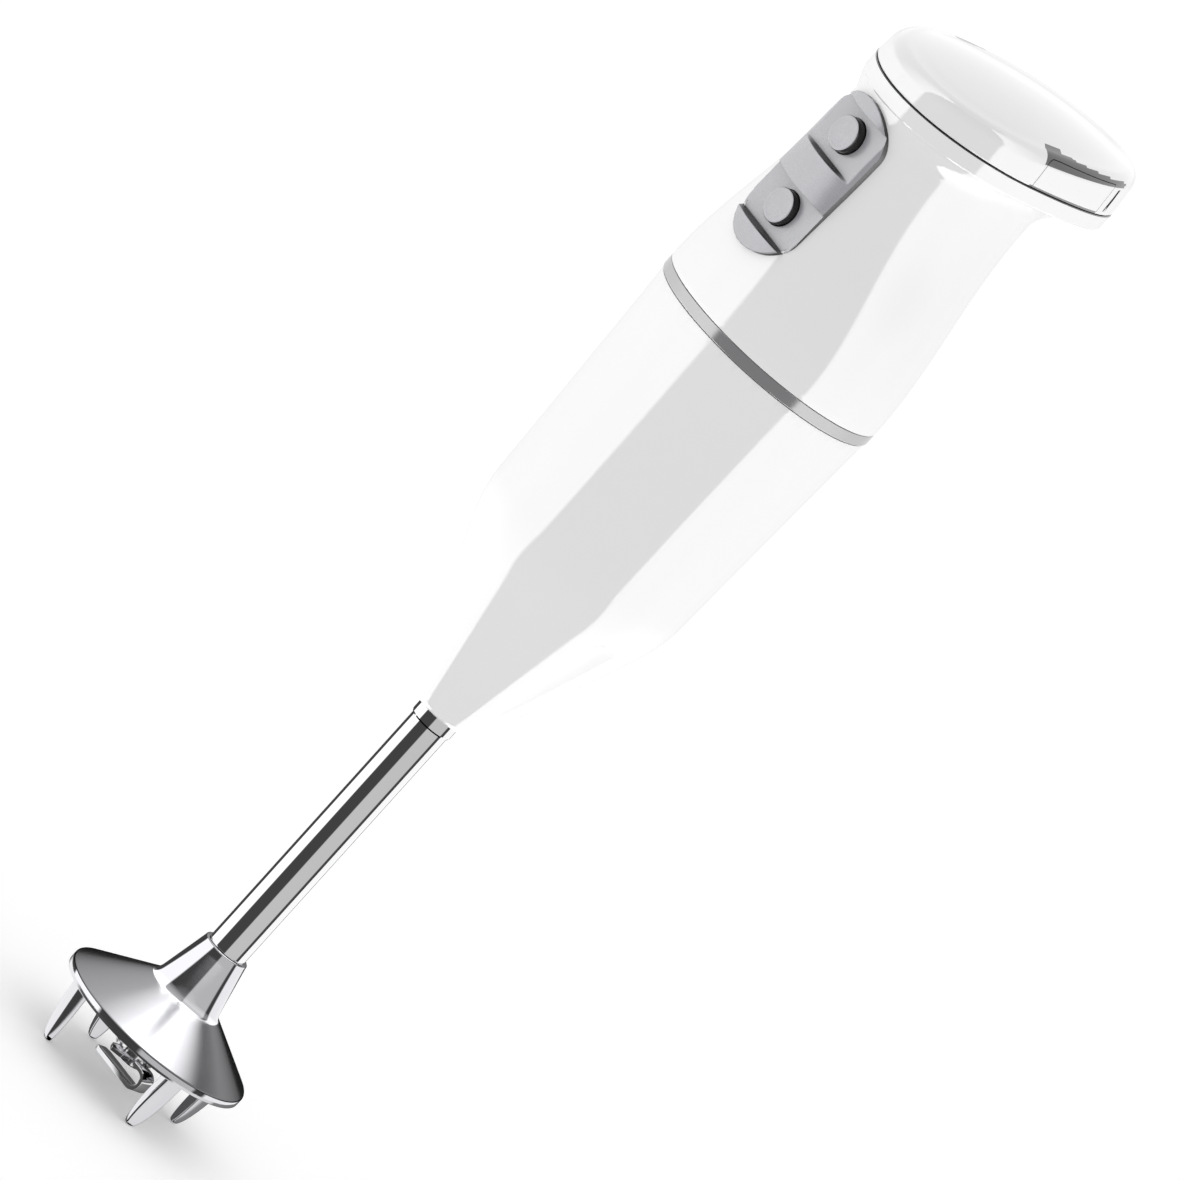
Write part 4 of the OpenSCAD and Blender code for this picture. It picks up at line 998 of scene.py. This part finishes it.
def card_light(obj, build, top, slots, clear=True):
    """Emission for a card that lights the pieces of these slots. A clear card is see-through
    for every other piece and from behind."""
    mat = bpy.data.materials.new(obj.name + "_light")
    mat.use_nodes = True
    n = Nodes(mat.node_tree)
    out = n.add("OutputMaterial")
    place = n.add("TexCoord").outputs["Object"]
    lit = n.add("Emission", {"Color": build(n, place), "Strength": top}).outputs["Emission"]
    if clear:
        through = n.add("BsdfTransparent").outputs["BSDF"]
        both = n.add("AddShader", {0: lit, 1: through}).outputs["Shader"]
        back = n.add("NewGeometry").outputs["Backfacing"]
        lit = n.add("MixShader", {0: back, 1: both, 2: through}).outputs["Shader"]
    n.tree.links.new(lit, out.inputs["Surface"])
    obj.data.materials.append(mat)
    only(obj, "glossy")
    group = bpy.data.collections.new(obj.name + "_pieces")
    for slot in slots:
        for each in worn.get(slot, []):
            group.objects.link(each)
    obj.light_linking.receiver_collection = group


def add_cards():
    steel, tube = ["guard_steel", "blade_steel"], ["tube_chrome"]
    others = [k for k in SKINS if k not in steel + tube]

    def body(n, place):
        height = n.add("SeparateXYZ", {"Vector": place}).outputs["Z"]
        spread = n.add("MapRange", {"Value": height, "From Min": -0.45, "From Max": 0.06,
                                    "To Min": 1.38, "To Max": 1.0}).outputs[0]
        lower = bearing_ramp(n, place, BODY_CARDS, CARD_TOP, spread)
        return blend(n, height, 0.38, 0.48, lower, bearing_ramp(n, place, TOP_CARDS, CARD_TOP))

    def around(cards, near=0.0):
        """near is the piece's radius over the card's, which shifts where a ray meets the card."""
        met = [(b - math.degrees(math.asin(near * math.sin(math.radians(b / 2)))), v)
               for b, v in cards]
        return lambda n, place: bearing_ramp(n, place, met, STEEL_TOP)

    def bell(n, place):
        turned = turned_to_camera(n, place).outputs["Vector"]
        away = n.add("VectorMath", {0: turned}, operation="LENGTH").outputs["Value"]
        flat = n.add("MapRange", {"Value": away, "From Min": 0.0, "From Max": PANEL_R * MM})
        sides = [n.ramp(flat.outputs[0], [(0.0, 1.0)] + [(panel_reach(a), v / STEEL_TOP)
                                                        for a, v in row])
                 for row in (BELL_LEFT, BELL_RIGHT)]
        over = n.add("SeparateXYZ", {"Vector": turned}).outputs["Y"]
        return blend(n, over, -0.002, 0.002, *sides)

    card_light(sheet_wall("card_body", 600, -2500, 2500), body, CARD_TOP, others, clear=False)
    card_light(sheet_wall("card_tube", 200, -60, 110), around(STEEL_CARDS), STEEL_TOP, tube)
    card_light(sheet_wall("card_neck", 12, 32.7, 51.5), around(STEEL_CARDS, 0.73), STEEL_TOP, steel)
    card_light(sheet_wall("card_rim", 50, 11.5, 17.5), around(STEEL_CARDS, 0.606), STEEL_TOP, steel)
    card_light(sheet_wall("card_prongs", 50, -60, 11.5), around(PRONG_CARDS), STEEL_TOP, steel)
    n = 96
    turn = [2 * math.pi * i / n for i in range(n)]
    points = [(r * math.cos(t), r * math.sin(t), 0) for r in (7.5, PANEL_R) for t in turn]
    lid = link("card_bell", points, [(i, (i + 1) % n, n + (i + 1) % n, n + i) for i in range(n)])
    lid.location.z = PANEL_Z * MM
    card_light(lid, bell, STEEL_TOP, steel)


def add_light():
    world = bpy.data.worlds.new("studio")
    scene.world = world
    world.use_nodes = True
    n = Nodes(world.node_tree)
    out = n.add("OutputWorld")
    sky = n.add("Background", {"Color": (1, 1, 1, 1), "Strength": 0.85})
    n.tree.links.new(sky.outputs["Background"], out.inputs["Surface"])
    scene.view_settings.view_transform = "Standard"
    scene.view_settings.look = "None"


add_floor()
add_cards()
add_light()
